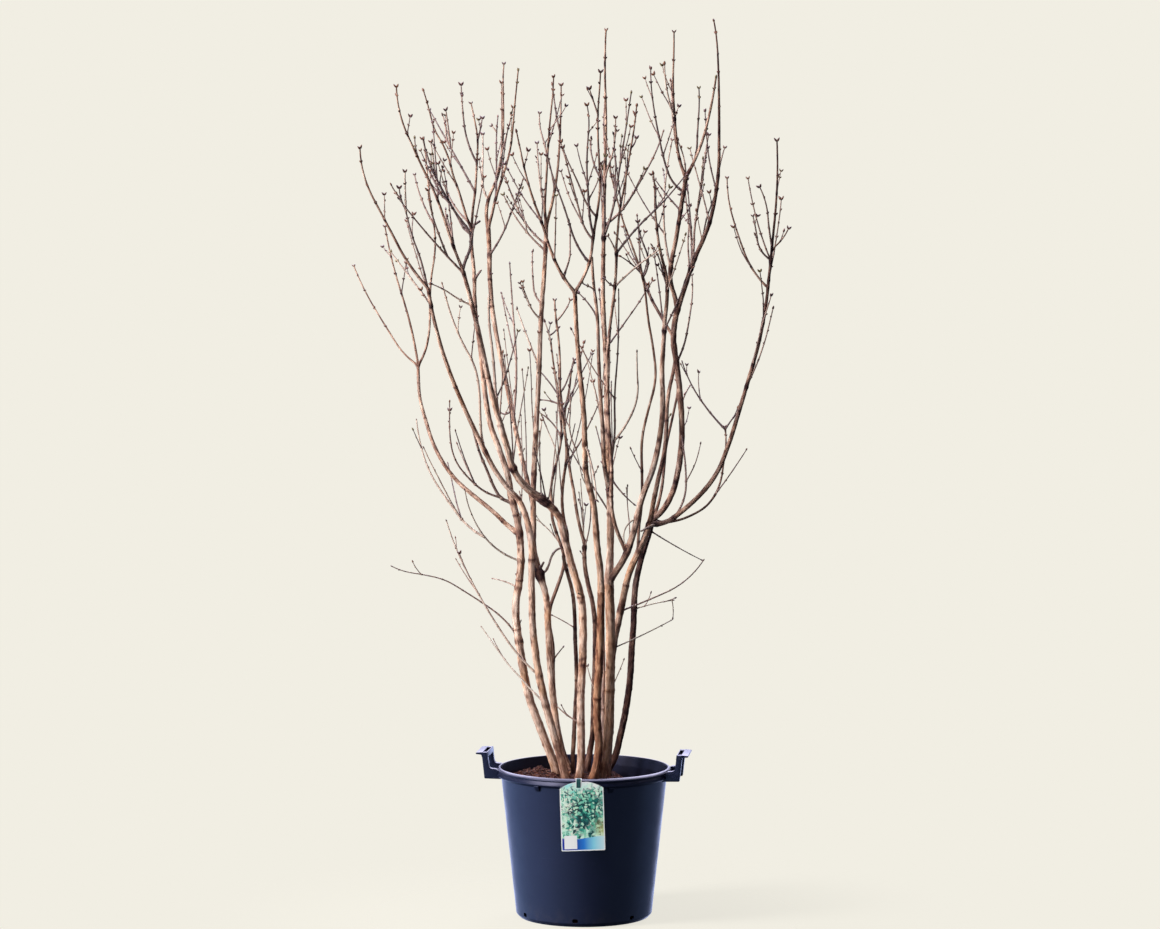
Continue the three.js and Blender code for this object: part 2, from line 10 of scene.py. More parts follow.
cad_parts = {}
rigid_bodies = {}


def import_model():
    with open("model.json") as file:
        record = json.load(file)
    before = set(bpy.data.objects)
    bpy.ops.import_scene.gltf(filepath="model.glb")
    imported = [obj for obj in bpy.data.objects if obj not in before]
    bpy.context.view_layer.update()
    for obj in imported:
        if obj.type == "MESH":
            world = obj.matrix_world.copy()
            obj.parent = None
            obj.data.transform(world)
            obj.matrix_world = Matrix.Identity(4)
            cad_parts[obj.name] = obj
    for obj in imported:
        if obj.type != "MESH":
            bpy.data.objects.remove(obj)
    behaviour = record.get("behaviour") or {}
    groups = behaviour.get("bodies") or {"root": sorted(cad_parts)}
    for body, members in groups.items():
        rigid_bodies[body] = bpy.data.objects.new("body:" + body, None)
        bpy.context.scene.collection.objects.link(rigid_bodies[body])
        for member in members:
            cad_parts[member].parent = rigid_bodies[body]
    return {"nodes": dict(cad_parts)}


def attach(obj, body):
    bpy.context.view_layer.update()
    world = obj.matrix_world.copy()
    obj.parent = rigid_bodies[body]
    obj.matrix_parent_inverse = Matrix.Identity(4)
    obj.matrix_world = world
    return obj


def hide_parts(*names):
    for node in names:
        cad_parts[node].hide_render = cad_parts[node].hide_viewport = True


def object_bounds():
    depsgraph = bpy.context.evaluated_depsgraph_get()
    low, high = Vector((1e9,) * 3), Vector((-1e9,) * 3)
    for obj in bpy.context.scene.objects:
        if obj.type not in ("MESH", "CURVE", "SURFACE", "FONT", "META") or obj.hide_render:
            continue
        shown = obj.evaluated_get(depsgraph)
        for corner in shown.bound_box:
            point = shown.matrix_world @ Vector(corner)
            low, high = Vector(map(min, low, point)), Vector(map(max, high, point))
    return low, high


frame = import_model()
CAD_BOX = [list(c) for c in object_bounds()]

# ------------------------------------------------------------------ dimensions (mm)
POT_HEIGHT = 344.3
POT_BASE_RADIUS = 155.9
POT_BASE_CHAMFER = 8.0
POT_WALL = 3.2
POT_FLOOR = 4.0
POT_SHOULDER_RADIUS = 190.6
RIM_OUTER_RADIUS = 200.0
RIM_INNER_RADIUS = 194.6
RIM_SKIRT = 15.0
DRAIN_COUNT = 7
DRAIN_FIRST_DEG = -59
DRAIN_SIZE = (13.0, 9.0)
DRAIN_Z = 10.5
HANDLE_AZIMUTH_DEG = (173.5, -6.5)
HANDLE_SPAN, HANDLE_ARM, HANDLE_DEPTH = 101.0, 13.5, 14.0
HANDLE_FOOT_Z, HANDLE_TOP_Z = 319.5, 380.5
HANDLE_FOOT_RADIUS, HANDLE_TOP_RADIUS = 210.0, 217.0
SOIL_LEVEL = 314.3
SOIL_FLAT_RADIUS = 142.0
LABEL_SIZE = (98.0, 155.0, 1.4)
LABEL_CENTRE = (-4.0, -203.2, 261.5)
LABEL_SWING_DEG = 1.9
LABEL_SHOULDER = 14.0
TONGUE = (13.0, -12.5)
ROOT_FLARE = 0.42
FLARE_HEIGHT = 26.0
WALK_STEPS = 96

# Every limb grows from a point `at` (0 foot, 1 end) on its parent, or from a
# spot [x, y] on the soil: name, parent, at, length, radius at foot, radius at
# end, sway angles (degrees from upright towards +X), reach angles (towards +Y).
LIMBS = [
    ("stem_1", None, [-60, 50], 668, 9.7, 7.4, [-18.4, -20.9, -21.1, -12.1, -8.1, -7.2, 11.7, 0.1, -8.2, -20.3], [-1.1, -1.9, -2.5, -3.1]),
    ("stem_2", None, [-39, -20], 664, 9.1, 6.3, [-15.9, -16, -10, -1.5, 1, -28.9], [-0.6, -1.1, -1.5, -1.9]),
    ("stem_3", None, [-43, 20], 577, 8, 6.8, [-7.8, -11.7, -7.3, -5.7, -4.2, -3, -1.7, -18.5, -13.5, 6.2], [2.2, 3.9, 5.2, 6.4]),
    ("stem_4", None, [-28, 110], 608, 5.1, 3.4, [-28.1, -13.1, -8, -3.3, 1.1, -12.3, 20.1, 18.9, -22.4, -13.4], [1.1, 2.4, 3.5, 4]),
    ("stem_5", None, [-24, 75], 509, 5.1, 4, [-6.4, 3.8, 2.4, 4.4, -0.9, -3, -0.6, -4.7, -16.7, -13], [0.8, 2, 2.6, 3.4]),
    ("stem_6", None, [-12, -30], 615, 9.1, 8, [9.2, -0.6, -1.3, 3.9, 1.1, -1.7, -18, -13.8, -13], [-1.8, -3.7, -4.9, -6.1]),
    ("stem_7", None, [7, 120], 535, 6.8, 4.6, [6.2, 11.2, 0.3, 2, 1.7, 0.9, -4.1, -15.2, -7.5, 5], [2, 4.3, 5.7, 7]),
    ("stem_8", None, [18, -50], 452, 9.1, 8, [19.9, -5.1, 3.9, 1.7, 0.1], [-1.8, -4, -5.2, -6.4]),
    ("stem_9", None, [36, 0], 461, 10.8, 10.3, [15.1, 1.5, 0.4, -3.4], [-0.3, -0.5, -0.7, -0.9]),
    ("stem_10", None, [52, 60], 604, 8.5, 6.8, [4.1, 4.5, -0.4, 3.3, 12.9, 10.7, 26.6, 16.1], [-0.2, -0.4, -0.6, -0.7]),
    ("stem_11", None, [51, 110], 602, 8, 6.3, [38.8, 12.2, 12, 6.5, 2.8, 4.1, 1.1, 11.5, 18.1, 13.1], [0.9, 2.1, 2.8, 3.5]),
    ("bough_left_1", "stem_1", 1, 625, 6.8, 3.4, [-1.8, -18.3, -21.6, -8.6, -5.2, -7.9, -7.2, 0.3, -7, 3.1], [3.1, 5.7, 7.5, 9.3]),
    ("bough_left_2", "stem_2", 1, 551, 5.7, 3.6, [-46, -26.1, -24, -19.9, -13.5, -7.2], [-8.6, -15.6, -20.2, -24.4]),
    ("bough_left_4", "stem_1", 0.865, 505, 5.1, 3.4, [-58.9, -45.9, -53, -51.2, -38.8, -27.4, -18.4, -16.9, -4.6, -0.9], [16.1, 19.1, 21.7, 24.4]),
    ("bough_left_5", "stem_6", 1, 209, 8.5, 7.1, [-31, -57.4, -33.1, -5.5], [-8.2, -15, -19.9, -22.2]),
    ("bough_left_6", "bough_left_5", 1, 437, 7.1, 4.1, [-17.7, -10.7, -14.8], [-8, -16.7, -22.6]),
    ("bough_left_7", "stem_3", 1, 712, 6.4, 4.6, [-1.3, 2.6, 3.1, 1.7, 4.6, 0.6], [4.9, 9.1, 11.7, 14.2]),
    ("bough_left_8", "stem_3", 0.99, 758, 4.8, 4.1, [7.1, -13.7, -14.2, -12.4, -11.4, -12.8, -10.3, -5.2, -0.6, -4.8], [24.5, 19.7, 17.5, 14.5]),
    ("crown_left_1", "bough_left_2", 1, 353, 3.3, 1.6, [-42.2, -26.9, -27.3, -0.5], [-5.6, -10.2, -13.5, -16.1]),
    ("crown_left_2", "bough_left_4", 1, 348, 2.8, 1.5, [-8.4, -18.8, -10.6], [8.1, 16.8, 21.8]),
    ("crown_left_3", "bough_left_4", 1, 543, 2.7, 1.4, [33.5, 11, 0.1, 2.9, 11.1, -0.9, -9.3, -5.7, -3.4, -9.6], [-5.5, -10.2, -13.7, -17.2]),
    ("crown_left_4", "bough_left_6", 1, 445, 3.3, 1.5, [-22.5, -16.6, -25.7, -22.8, -0.1], [-8.8, -16.4, -21.6, -25.7]),
    ("crown_left_6", "bough_left_1", 1, 339, 3, 1.5, [-28.7, -16.3, -16.3, -20.2, -12.6, -22.3, -31.6, -13.9, -14.1, -17.6], [-5.5, -9.3, -13.6, -15.5]),
    ("crown_left_7", "bough_left_1", 1, 313, 3.2, 1.5, [-0.7, 8.1, 1.8, 3.2, -11.7, -12.7], [9.8, 18.1, 22.7, 26]),
    ("crown_left_8", "bough_left_8", 1, 412, 4.1, 1.5, [-15.1, 7.5, 27.1, 12.6, 4.3, 2.1, -0, -1.3, -0.5, 4.9], [8.3, 15.9, 19.4, 23]),
    ("crown_left_9", "bough_left_8", 1, 378, 3.3, 1.5, [23.1, 11.4, 18.6, 17.7, 15.5, 7.5, 4.8, 5.6, 6.4, 5.4], [-4.9, -9.8, -12, -14.7]),
    ("bough_mid_1", "bough_left_7", 1, 349, 3.6, 1.5, [16.6, 3.5, -0.1], [8.6, 17.7, 22.7]),
    ("bough_mid_2", "bough_left_7", 1, 356, 3.2, 1.5, [-7.2, 4.2, 3, 4.4, 6.7, 1.8], [-7.9, -14.5, -18.9, -22.9]),
    ("bough_mid_3", "stem_5", 1, 607, 3.9, 2.1, [27, -15.7, 0.5, 10.7, -6.2, -9.6, 0.9, -2.2, -8.4, -2.2], [5.3, 10.5, 13.1, 15.7]),
    ("bough_mid_4", "stem_7", 1, 467, 3.9, 2.1, [-20.1, -12.4, -7.4, -12.2, -4.9, -10.5, 2.9, 14, 3.9, 17.9], [11.7, 20.5, 26.7, 30.5]),
    ("bough_mid_5", "stem_4", 1, 444, 3.4, 1.9, [-1.6, -3.6, 13.8, 15.2, 2.9, -6.5, -6.7, -10, -7.8, -7.1], [10.3, 19.9, 24.2, 28.5]),
    ("bough_mid_6", "stem_8", 1, 693, 7.4, 4.3, [-1.3, -8, -2.3, -16.8, -0.1, -2.3, -6.3, -4.9, -2.9, -1.9], [-8.8, -11.3, -13.4, -16.3]),
    ("bough_mid_7", "bough_mid_6", 1, 397, 3.8, 1.5, [-44.8, -28.9, -21.4, -15.9, -21.4, -17.5, -13.5, -11.2, -11.9], [-9.1, -17.5, -22.5, -27.1]),
    ("bough_mid_8", "bough_mid_6", 1, 494, 3.4, 1.5, [35.7, 21.2, 5.3, 10.7, 5.5, -3.5, -2.9, 0.2, 4.7, 2.3], [-3.4, -7, -8.9, -10.9]),
    ("trunk_1", "stem_9", 1, 1253, 8.4, 1.7, [3.9, -1, -2.8, -0.1, -4.1, 1, 0.9, 1.7, -1.9, 3], [1.1, 1.4, 1.7, 2.1]),
    ("bough_mid_9", "trunk_1", 0.167, 546, 5, 3, [-18, -1.2, -4.3, -2.7, -0.9, -7.8, -1.7], [-19.2, -14.5, -12.6, -9]),
    ("bough_right_1", "stem_9", 1, 489, 7.4, 5.5, [41.2, 22, 9.8, 22.7, 10.8, 4.2, -5.2], [-11.8, -9.2, -7.1, -5.1]),
    ("bough_mid_10", "bough_right_1", 0.167, 727, 4.3, 3, [-33.1, -13.3, 3.7, -5.6, -1.9, -2.4, 3.3, 7.7, 5.1, -2.3], [-16, -15, -15.6, -15.6]),
    ("bough_mid_11", "bough_mid_10", 1, 350, 2.7, 1.5, [5.7, 4.3, 12, 8.8, 9.7, 7.6, 4.8], [-13.4, -25.2, -32, -37.1]),
    ("bough_right_2", "bough_right_1", 1, 480, 5.5, 1.5, [-1.1, 3.8, 2.2, 6.6, -0.9, -17.6, -8.8, -5.8, -0.6, -8.3], [-6.3, -12.5, -16.1, -19.9]),
    ("bough_right_3", "stem_10", 1, 590, 5.5, 3.1, [9.2, 11.5, 15, 3.5, 2.1, 14.2, 8.9, -30.6, -30, -20.6], [9.1, 16.3, 21.7, 25.2]),
    ("bough_right_4", "stem_11", 1, 520, 6.6, 6.2, [53.7, 27.4, 11, 6.7, -0.9, -4.6, -6.2, -10.3, 4.8, 17.8], [-1.1, -1.9, -2.5, -3.1]),
    ("bough_right_5", "bough_right_4", 1, 666, 5.7, 1.6, [18.5, 17.6, 25.8, 13.3, 6.3, -0.5, -0.2, -1.5, -3, -11.3], [-1.8, -3.4, -4.5, -5.6]),
    ("bough_right_6", "bough_right_4", 0.979, 339, 5, 4.6, [-9.5, -18.6, 4.1, 12.2, 8.3, 7.8, 8.7, 6], [-12.4, -22.4, -28.3, -33.6]),
    ("bough_right_7", "bough_right_6", 1, 330, 3.6, 1.6, [-24.1, -5.3, -4, 2.1, -0.3], [-1.3, -2.4, -3.2, -3.8]),
    ("bough_right_8", "bough_right_6", 1, 263, 3.6, 2.1, [30.1, 13.1, 6.3], [-15.5, -30.4, -38.7]),
    ("bough_right_9", "stem_10", 0.99, 317, 5.5, 4.8, [98.3, 50.5, 45.7, 33.6, 18.8, 17.4], [-10.2, -18.7, -23.4, -27.6]),
    ("bough_right_10", "bough_right_9", 1, 684, 4.9, 1.7, [16.4, 15.9, 5.1, 4.6, -3.5], [-4.5, -8.5, -11.4, -14]),
    ("bough_right_11", "bough_right_10", 0.594, 90, 2.2, 1.4, [-6.6, 47, 24.2], [3.4, 7, 9.4]),
    ("bough_right_12", "bough_right_10", 0.51, 288, 2.6, 1.4, [-46.9, -20.3, -14.8, 1.4], [10.5, 18.5, 23.7, 27.3]),
    ("bough_right_13", "stem_11", 1, 364, 3, 1.8, [114, 84, 71.1, 61.1, 39.4, 21.4, 8.9, 11.3, 1.1, -5.8], [12.9, 22.7, 29.9, 34.7]),
    ("bough_right_14", "stem_10", 0.875, 684, 3.4, 2.3, [-4.3, 8.1, -0.5, -2.3, 12.4, 15.3, -6.5, -11.1, -5.4, -15], [-8.6, -15.5, -20.5, -24.7]),
    ("bough_right_15", "stem_11", 1, 463, 3.6, 2.3, [25, 14, 6.7, 4.6, 14.2, 13.4, 13.4, -4.7, -10.6, -8.2], [13.8, 25.2, 31.3, 36.6]),
    ("crown_left_10", "bough_left_4", 1, 317, 2.1, 1.4, [-57.9, -33.1, -33.5, -29.4, -23], [13.8, 24.4, 30.3, 34.9]),
    ("bough_right_17", "bough_right_3", 1, 358, 2.7, 1.5, [-17.9, -19.4, -20.2, -14, -13.7, 3.5], [13.8, 24.5, 31, 35.6]),
]
# Thin shoots, told the same way.
SHOOTS = [
    ("bough_left_3", "stem_1", 0.979, 249, 4, 2.5, [-91, -30, -20, -23, -16, -12, -32], [-11, -18, -23, -27]),
    ("bough_left_9", "bough_left_5", 0.792, 399, 3.9, 2.3, [-17, -14, -3, -8, 3], [4, 8, 10, 12]),
    ("bough_left_10", "bough_left_2", 0.24, 397, 3, 1.6, [-18, -3, -1, -10, -30, -23, -17, -14], [0, 0, 0, 0]),
    ("crown_left_5", "bough_left_6", 1, 317, 3.3, 1.5, [13, 25, -2, -43, -31, -29, -28, -24, -16, -6], [-3, -8, -9, -11]),
    ("bough_right_16", "bough_right_9", 0.188, 349, 2.7, 1.6, [41, 1, -8, 0, 37], [14, 25, 31, 36]),
    ("shoot_1", "bough_left_3", 0.125, 302, 2.7, 1.3, [-78, -49, -36, -9, 1, 2], [-19, -29]),
    ("shoot_2", "stem_1", 0.771, 228, 2.6, 1.3, [-73, -34, -7], [-10, -17]),
    ("shoot_3", "shoot_2", 0.448, 334, 2.9, 1.3, [-64, -38, -34, -17, -7], [12, 20]),
    ("shoot_4", "stem_2", 0.375, 419, 2.7, 1.3, [-49, -42, -34, -32, -29, -27, -22, -17], [6, 10]),
    ("shoot_5", "stem_2", 0.271, 258, 2.5, 1.3, [-40, -49, -43, -47, -40, -38, -38, -38], [24, 35]),
    ("shoot_6", "stem_1", 0.49, 360, 2.3, 1.1, [-22, -41, -54, -56, -57, -76, -80, -61], [-9, -16]),
    ("shoot_7", "stem_1", 0.677, 70, 2.1, 1.3, [-60, -86], [21, 34]),
    ("shoot_8", "bough_left_2", 0.98, 249, 2.6, 1.3, [-13, -12, -15, -21, -15, -12, -22, -1], [-11, -21]),
    ("shoot_9", "shoot_8", 0.896, 41, 2.1, 1.3, [-45, -23], [-18, -29]),
    ("shoot_10", "shoot_8", 0.76, 95, 2.2, 1.3, [-2, 1], [-15, -25]),
    ("shoot_11", "bough_left_6", 0.98, 239, 2.6, 1.3, [-44, -36], [-20, -33]),
    ("shoot_12", "shoot_11", 0.229, 164, 2.4, 1.3, [-22, -18, -4], [-18, -28]),
    ("shoot_13", "crown_left_4", 0.125, 95, 2.2, 1.3, [-1, -27, 3], [21, 33]),
    ("shoot_14", "crown_left_3", 0.625, 136, 2.3, 1.3, [-32, -12], [18, 28]),
    ("shoot_15", "bough_left_1", 0.98, 280, 2.7, 1.3, [-64, -24, -33, -50, -35, -24, -18, -2], [14, 21]),
    ("shoot_16", "crown_left_5", 0.323, 217, 2.6, 1.3, [-39, -13], [-9, -15]),
    ("shoot_17", "crown_left_6", 0.052, 111, 2.2, 1.3, [-49, -17], [19, 29]),
    ("shoot_18", "shoot_16", 0.51, 95, 2.2, 1.3, [-24, -4, -11], [-9, -14]),
    ("shoot_19", "crown_left_7", 0.281, 241, 2.6, 1.3, [-29, -30], [19, 29]),
    ("shoot_20", "shoot_19", 0.531, 80, 2.2, 1.3, [-30, -2, -23], [11, 18]),
    ("shoot_21", "shoot_20", 0, 90, 2.2, 1.3, [-5, -8], [-14, -24]),
    ("shoot_22", "crown_left_7", 0.51, 187, 2.5, 1.3, [-30, -7, -2], [5, 9]),
    ("shoot_23", "crown_left_7", 0.688, 58, 2.1, 1.3, [14, 8], [19, 30]),
    ("shoot_24", "crown_left_8", 0.156, 177, 2.4, 1.3, [-36, -4, 2, -1, -2], [22, 31]),
    ("shoot_25", "crown_left_9", 0.177, 220, 2.5, 1.3, [3, -2, 5], [21, 32]),
    ("shoot_26", "shoot_25", 0.802, 19, 2, 1.3, [-32, -43], [9, 14]),
    ("shoot_27", "bough_left_8", 0.906, 209, 2.5, 1.3, [37, 20, 21], [-17, -27]),
    ("shoot_28", "bough_left_7", 0.938, 213, 2.5, 1.3, [-53, -24, -19], [9, 14]),
    ("shoot_29", "bough_left_7", 0.917, 166, 2.4, 1.3, [-50, -24], [7, 11]),
    ("shoot_30", "bough_left_6", 0.802, 104, 2.3, 1.3, [-70, -54, -69], [-13, -20]),
    ("shoot_31", "bough_left_2", 0.927, 153, 2.4, 1.3, [-38, -38], [13, 20]),
    ("shoot_32", "bough_left_8", 0.375, 389, 3, 1.4, [7, -5, -4], [18, 27]),
    ("shoot_33", "bough_left_7", 0.531, 160, 2.4, 1.3, [-23, -20], [22, 33]),
    ("shoot_34", "bough_left_7", 0.688, 108, 2.2, 1.3, [-53, -18, -29], [-20, -29]),
    ("shoot_35", "bough_left_7", 0.74, 137, 2.3, 1.3, [-51, -5, -3, 3], [19, 28]),
    ("shoot_36", "bough_left_8", 0.406, 81, 2.2, 1.3, [-169, -28, -19], [16, 24]),
    ("shoot_37", "bough_mid_5", 0.677, 81, 2.1, 1.3, [-33, -44], [21, 34]),
    ("shoot_38", "bough_mid_5", 0.438, 81, 2.2, 1.3, [-22, -62], [11, 20]),
    ("shoot_39", "bough_mid_5", 0.625, 46, 2.1, 1.3, [-66, -89], [12, 20]),
    ("shoot_40", "bough_mid_5", 0.677, 95, 2.2, 1.3, [44, 18, 27], [23, 33]),
    ("shoot_41", "bough_mid_5", 0.98, 55, 2, 1.3, [-11, -21], [14, 24]),
    ("shoot_42", "shoot_41", 0.365, 28, 2, 1.3, [69, 26], [15, 27]),
    ("shoot_43", "bough_mid_3", 0.917, 62, 2.1, 1.3, [47, 20], [13, 20]),
    ("shoot_44", "bough_mid_2", 0.073, 187, 2.4, 1.3, [-11, -2], [20, 30]),
    ("shoot_45", "bough_mid_2", 0.438, 118, 2.3, 1.3, [-6, -18, 4], [15, 23]),
    ("shoot_46", "bough_mid_1", 0.656, 119, 2.3, 1.3, [-13, -5], [14, 21]),
    ("shoot_47", "bough_mid_1", 0.25, 92, 2.2, 1.3, [-8, -16], [7, 11]),
    ("shoot_48", "bough_mid_7", 0.104, 129, 2.3, 1.3, [19, 18, -1, 1, -12], [12, 20]),
    ("shoot_49", "bough_mid_8", 0.146, 256, 2.7, 1.3, [-41, -16, -21, -15], [-5, -9]),
    ("shoot_50", "bough_mid_8", 0.25, 234, 2.6, 1.3, [-43, -14, -15, -15, -16], [-12, -19]),
    ("shoot_51", "bough_mid_8", 0.354, 177, 2.5, 1.3, [-45, -20, -27, -19], [-14, -23]),
    ("shoot_52", "bough_mid_8", 0.271, 307, 2.8, 1.3, [-17, -3, -4, 2, 5, -12], [-18, -29]),
    ("shoot_53", "bough_mid_8", 0.531, 95, 2.2, 1.3, [-29, 0], [21, 30]),
    ("shoot_54", "bough_mid_8", 0.812, 62, 2.1, 1.3, [-20, -18], [-16, -27]),
    ("shoot_55", "bough_mid_9", 0.823, 60, 2.1, 1.3, [1, -5, -29, -65, -67, -55], [-18, -30]),
    ("shoot_56", "bough_mid_9", 0.75, 69, 2.2, 1.3, [-28, -47], [7, 10]),
    ("shoot_57", "trunk_1", 0.646, 264, 3, 1.4, [57, 31, 29, 17], [9, 15]),
    ("shoot_58", "bough_mid_10", 0.98, 231, 2.6, 1.3, [35, 47, 36], [-6, -10]),
    ("shoot_59", "bough_mid_10", 0.98, 45, 2, 1.3, [-18, -34], [-12, -20]),
    ("shoot_60", "trunk_1", 0.625, 341, 2.7, 1.4, [22, 8, 9, 8], [-11, -19]),
    ("shoot_61", "shoot_60", 0.229, 41, 2.1, 1.3, [11, -4], [12, 21]),
    ("shoot_62", "trunk_1", 0.719, 170, 2.4, 1.3, [4, 21, 4, 0], [-20, -31]),
    ("shoot_63", "bough_mid_11", 0.688, 27, 2, 1.3, [47, 9], [21, 24]),
    ("shoot_64", "bough_mid_10", 0.875, 33, 2, 1.3, [-68, -33], [-21, -31]),
    ("shoot_65", "bough_mid_10", 0.875, 145, 2.3, 1.3, [44, 56], [-21, -34]),
    ("shoot_66", "bough_mid_6", 0.49, 137, 2.3, 1.3, [158, 179], [-18, -29]),
    ("shoot_67", "bough_mid_10", 0.312, 399, 2.5, 1.3, [11, -2, 5, 1, -1], [-11, -18]),
    ("shoot_68", "bough_mid_10", 0.25, 76, 2.2, 1.3, [147, 129], [-6, -10]),
    ("shoot_69", "shoot_67", 0.115, 229, 2.6, 1.3, [40, 25, -4, 0], [-14, -23]),
    ("shoot_70", "bough_right_3", 0.98, 195, 2.4, 1.3, [-23, -1, -6], [18, 29]),
    ("shoot_71", "bough_right_14", 0.98, 138, 2.3, 1.3, [37, -25, -7], [-15, -24]),
    ("shoot_72", "bough_right_2", 0.448, 107, 2.2, 1.3, [-20, -13, -38], [-16, -25]),
    ("shoot_73", "shoot_70", 0.208, 73, 2.1, 1.3, [-39, -60], [-15, -24]),
    ("shoot_74", "bough_right_6", 0.302, 320, 2.7, 1.3, [-14, 3, 13], [16, 25]),
    ("shoot_75", "bough_right_6", 0.74, 96, 2.2, 1.3, [-44, -34], [15, 24]),
    ("shoot_76", "bough_right_6", 0.885, 299, 2.7, 1.3, [-59, -19, -12, -11, -7, 0], [-9, -14]),
    ("shoot_77", "bough_right_7", 0.417, 133, 2.3, 1.3, [-22, -1], [-19, -30]),
    ("shoot_78", "bough_right_8", 0.062, 194, 2.5, 1.3, [31, 1, 4, -4], [-11, -17]),
    ("shoot_79", "bough_right_6", 0.98, 93, 2.2, 1.3, [4, -26], [8, 13]),
    ("shoot_80", "bough_right_5", 0.135, 191, 2.5, 1.3, [25, 21, 9, 21, 17], [5, 9]),
    ("shoot_81", "bough_right_5", 0.469, 74, 2.1, 1.3, [9, 19], [20, 30]),
    ("shoot_82", "bough_right_5", 0.135, 221, 2.5, 1.3, [4, -4, -5], [17, 27]),
    ("shoot_83", "shoot_82", 0.062, 300, 2.8, 1.3, [14, 0, 10, 11, 6, 7, 13], [6, 10]),
    ("shoot_84", "bough_right_5", 0.083, 170, 2.4, 1.3, [18, -5, 3, 4], [17, 28]),
    ("shoot_85", "shoot_58", 0.583, 46, 2.1, 1.3, [-12, 9], [-15, -24]),
    ("shoot_86", "bough_right_4", 0.74, 213, 2.5, 1.3, [29, 11, 8, -5], [10, 16]),
    ("shoot_87", "bough_right_10", 0.604, 125, 2.3, 1.3, [-61, -9, -16], [-22, -33]),
    ("shoot_88", "bough_right_10", 0.646, 151, 2.4, 1.3, [-12, -6, -29], [-19, -29]),
    ("shoot_89", "bough_right_13", 0.98, 193, 2.5, 1.3, [-45, -34, -17], [8, 14]),
    ("shoot_90", "bough_right_13", 0.98, 55, 2.1, 1.3, [30, 44], [6, 10]),
    ("shoot_91", "bough_right_1", 0.333, 77, 2.2, 1.3, [-107, -206], [-12, -21]),
    ("shoot_92", "stem_6", 0.219, 69, 2.2, 1.3, [-67, -43], [5, 9]),
    ("shoot_93", "stem_10", 0.635, 232, 2.2, 1.3, [70, 67, 34], [9, 15]),
    ("shoot_94", "stem_11", 0.958, 150, 1.9, 1.1, [124, 118], [14, 23]),
    ("shoot_95", "stem_11", 0.646, 93, 1.5, 1.3, [71, 81], [-5, -10]),
    ("shoot_96", "shoot_95", 0.98, 41, 1.3, 1.1, [167, 187], [-2, -3]),
    ("shoot_97", "stem_10", 0.49, 150, 1.7, 1.3, [68, 63], [9, 14]),
    ("shoot_98", "stem_4", 0.438, 41, 2, 1.3, [36, 43], [21, 31]),
    ("shoot_99", "stem_3", 0.823, 86, 3, 2.5, [95, 30, 14, 34, 75], [21, 29]),
    ("shoot_100", "bough_mid_6", 0.333, 110, 1.5, 1.1, [-33, -34, -19, -7, -15, -12, -1], [-17, -25]),
    ("shoot_101", "stem_7", 0.98, 159, 1.8, 1.1, [-5, -1, -5, -3], [7, 11]),
    ("shoot_102", "stem_7", 0.979, 129, 1.8, 1.3, [18, -6], [-13, -21]),
    ("shoot_103", "shoot_100", 0.969, 165, 1.6, 1.1, [-29, 6, -8], [-21, -34]),
    ("shoot_104", "bough_left_8", 0.104, 177, 2.7, 1.8, [-19, -10, -18], [22, 32]),
    ("shoot_105", "stem_4", 0.885, 85, 1.7, 1.1, [-31, -56], [12, 19]),
    ("shoot_106", "bough_left_5", 0.302, 154, 1.7, 1.1, [-3, 0], [-6, -10]),
    ("shoot_107", "bough_mid_5", 0.271, 122, 1.5, 1.1, [14, -25, -20], [10, 15]),
    ("shoot_108", "bough_right_1", 0.198, 140, 1.6, 1.1, [3, -7, 4], [15, 24]),
    ("shoot_109", "stem_9", 0.062, 442, 6.2, 3, [10, -3, -2, 2, -1, -1, -4, 4], [3, 4]),
    ("shoot_110", "stem_5", 0.667, 61, 1.5, 1.1, [-58, -65], [8, 13]),
    ("stub_1", "stem_3", 0.812, 21, 3.6, 2.6, [-32, -40], [-14, -20]),
    ("stub_2", "stem_3", 0.826, 17, 3, 2.3, [4, 10], [-22, -26]),
    ("stub_3", "stem_3", 0.834, 23, 3.2, 2.4, [34, 26], [-6, -10]),
    ("stub_4", "stem_3", 0.8, 14, 2.8, 2.3, [-52, -60], [18, 24]),
    ("stub_5", "bough_left_5", 0.33, 13, 3, 2.4, [30, 36], [-30, -36]),
    ("stub_6", "bough_left_5", 0.27, 11, 2.8, 2.3, [52, 60], [-12, -20]),
    ("peg_1", "bough_right_9", 0.05, 44, 2.9, 2.3, [-108, -118], [-34, -26]),
    ("stub_8", "crown_left_6", 0.012, 25, 3.2, 2.5, [48, 60], [10, 20]),
    ("stub_9", "bough_left_1", 0.812, 26, 3, 2.2, [34, 38], [-10, -12]),
]
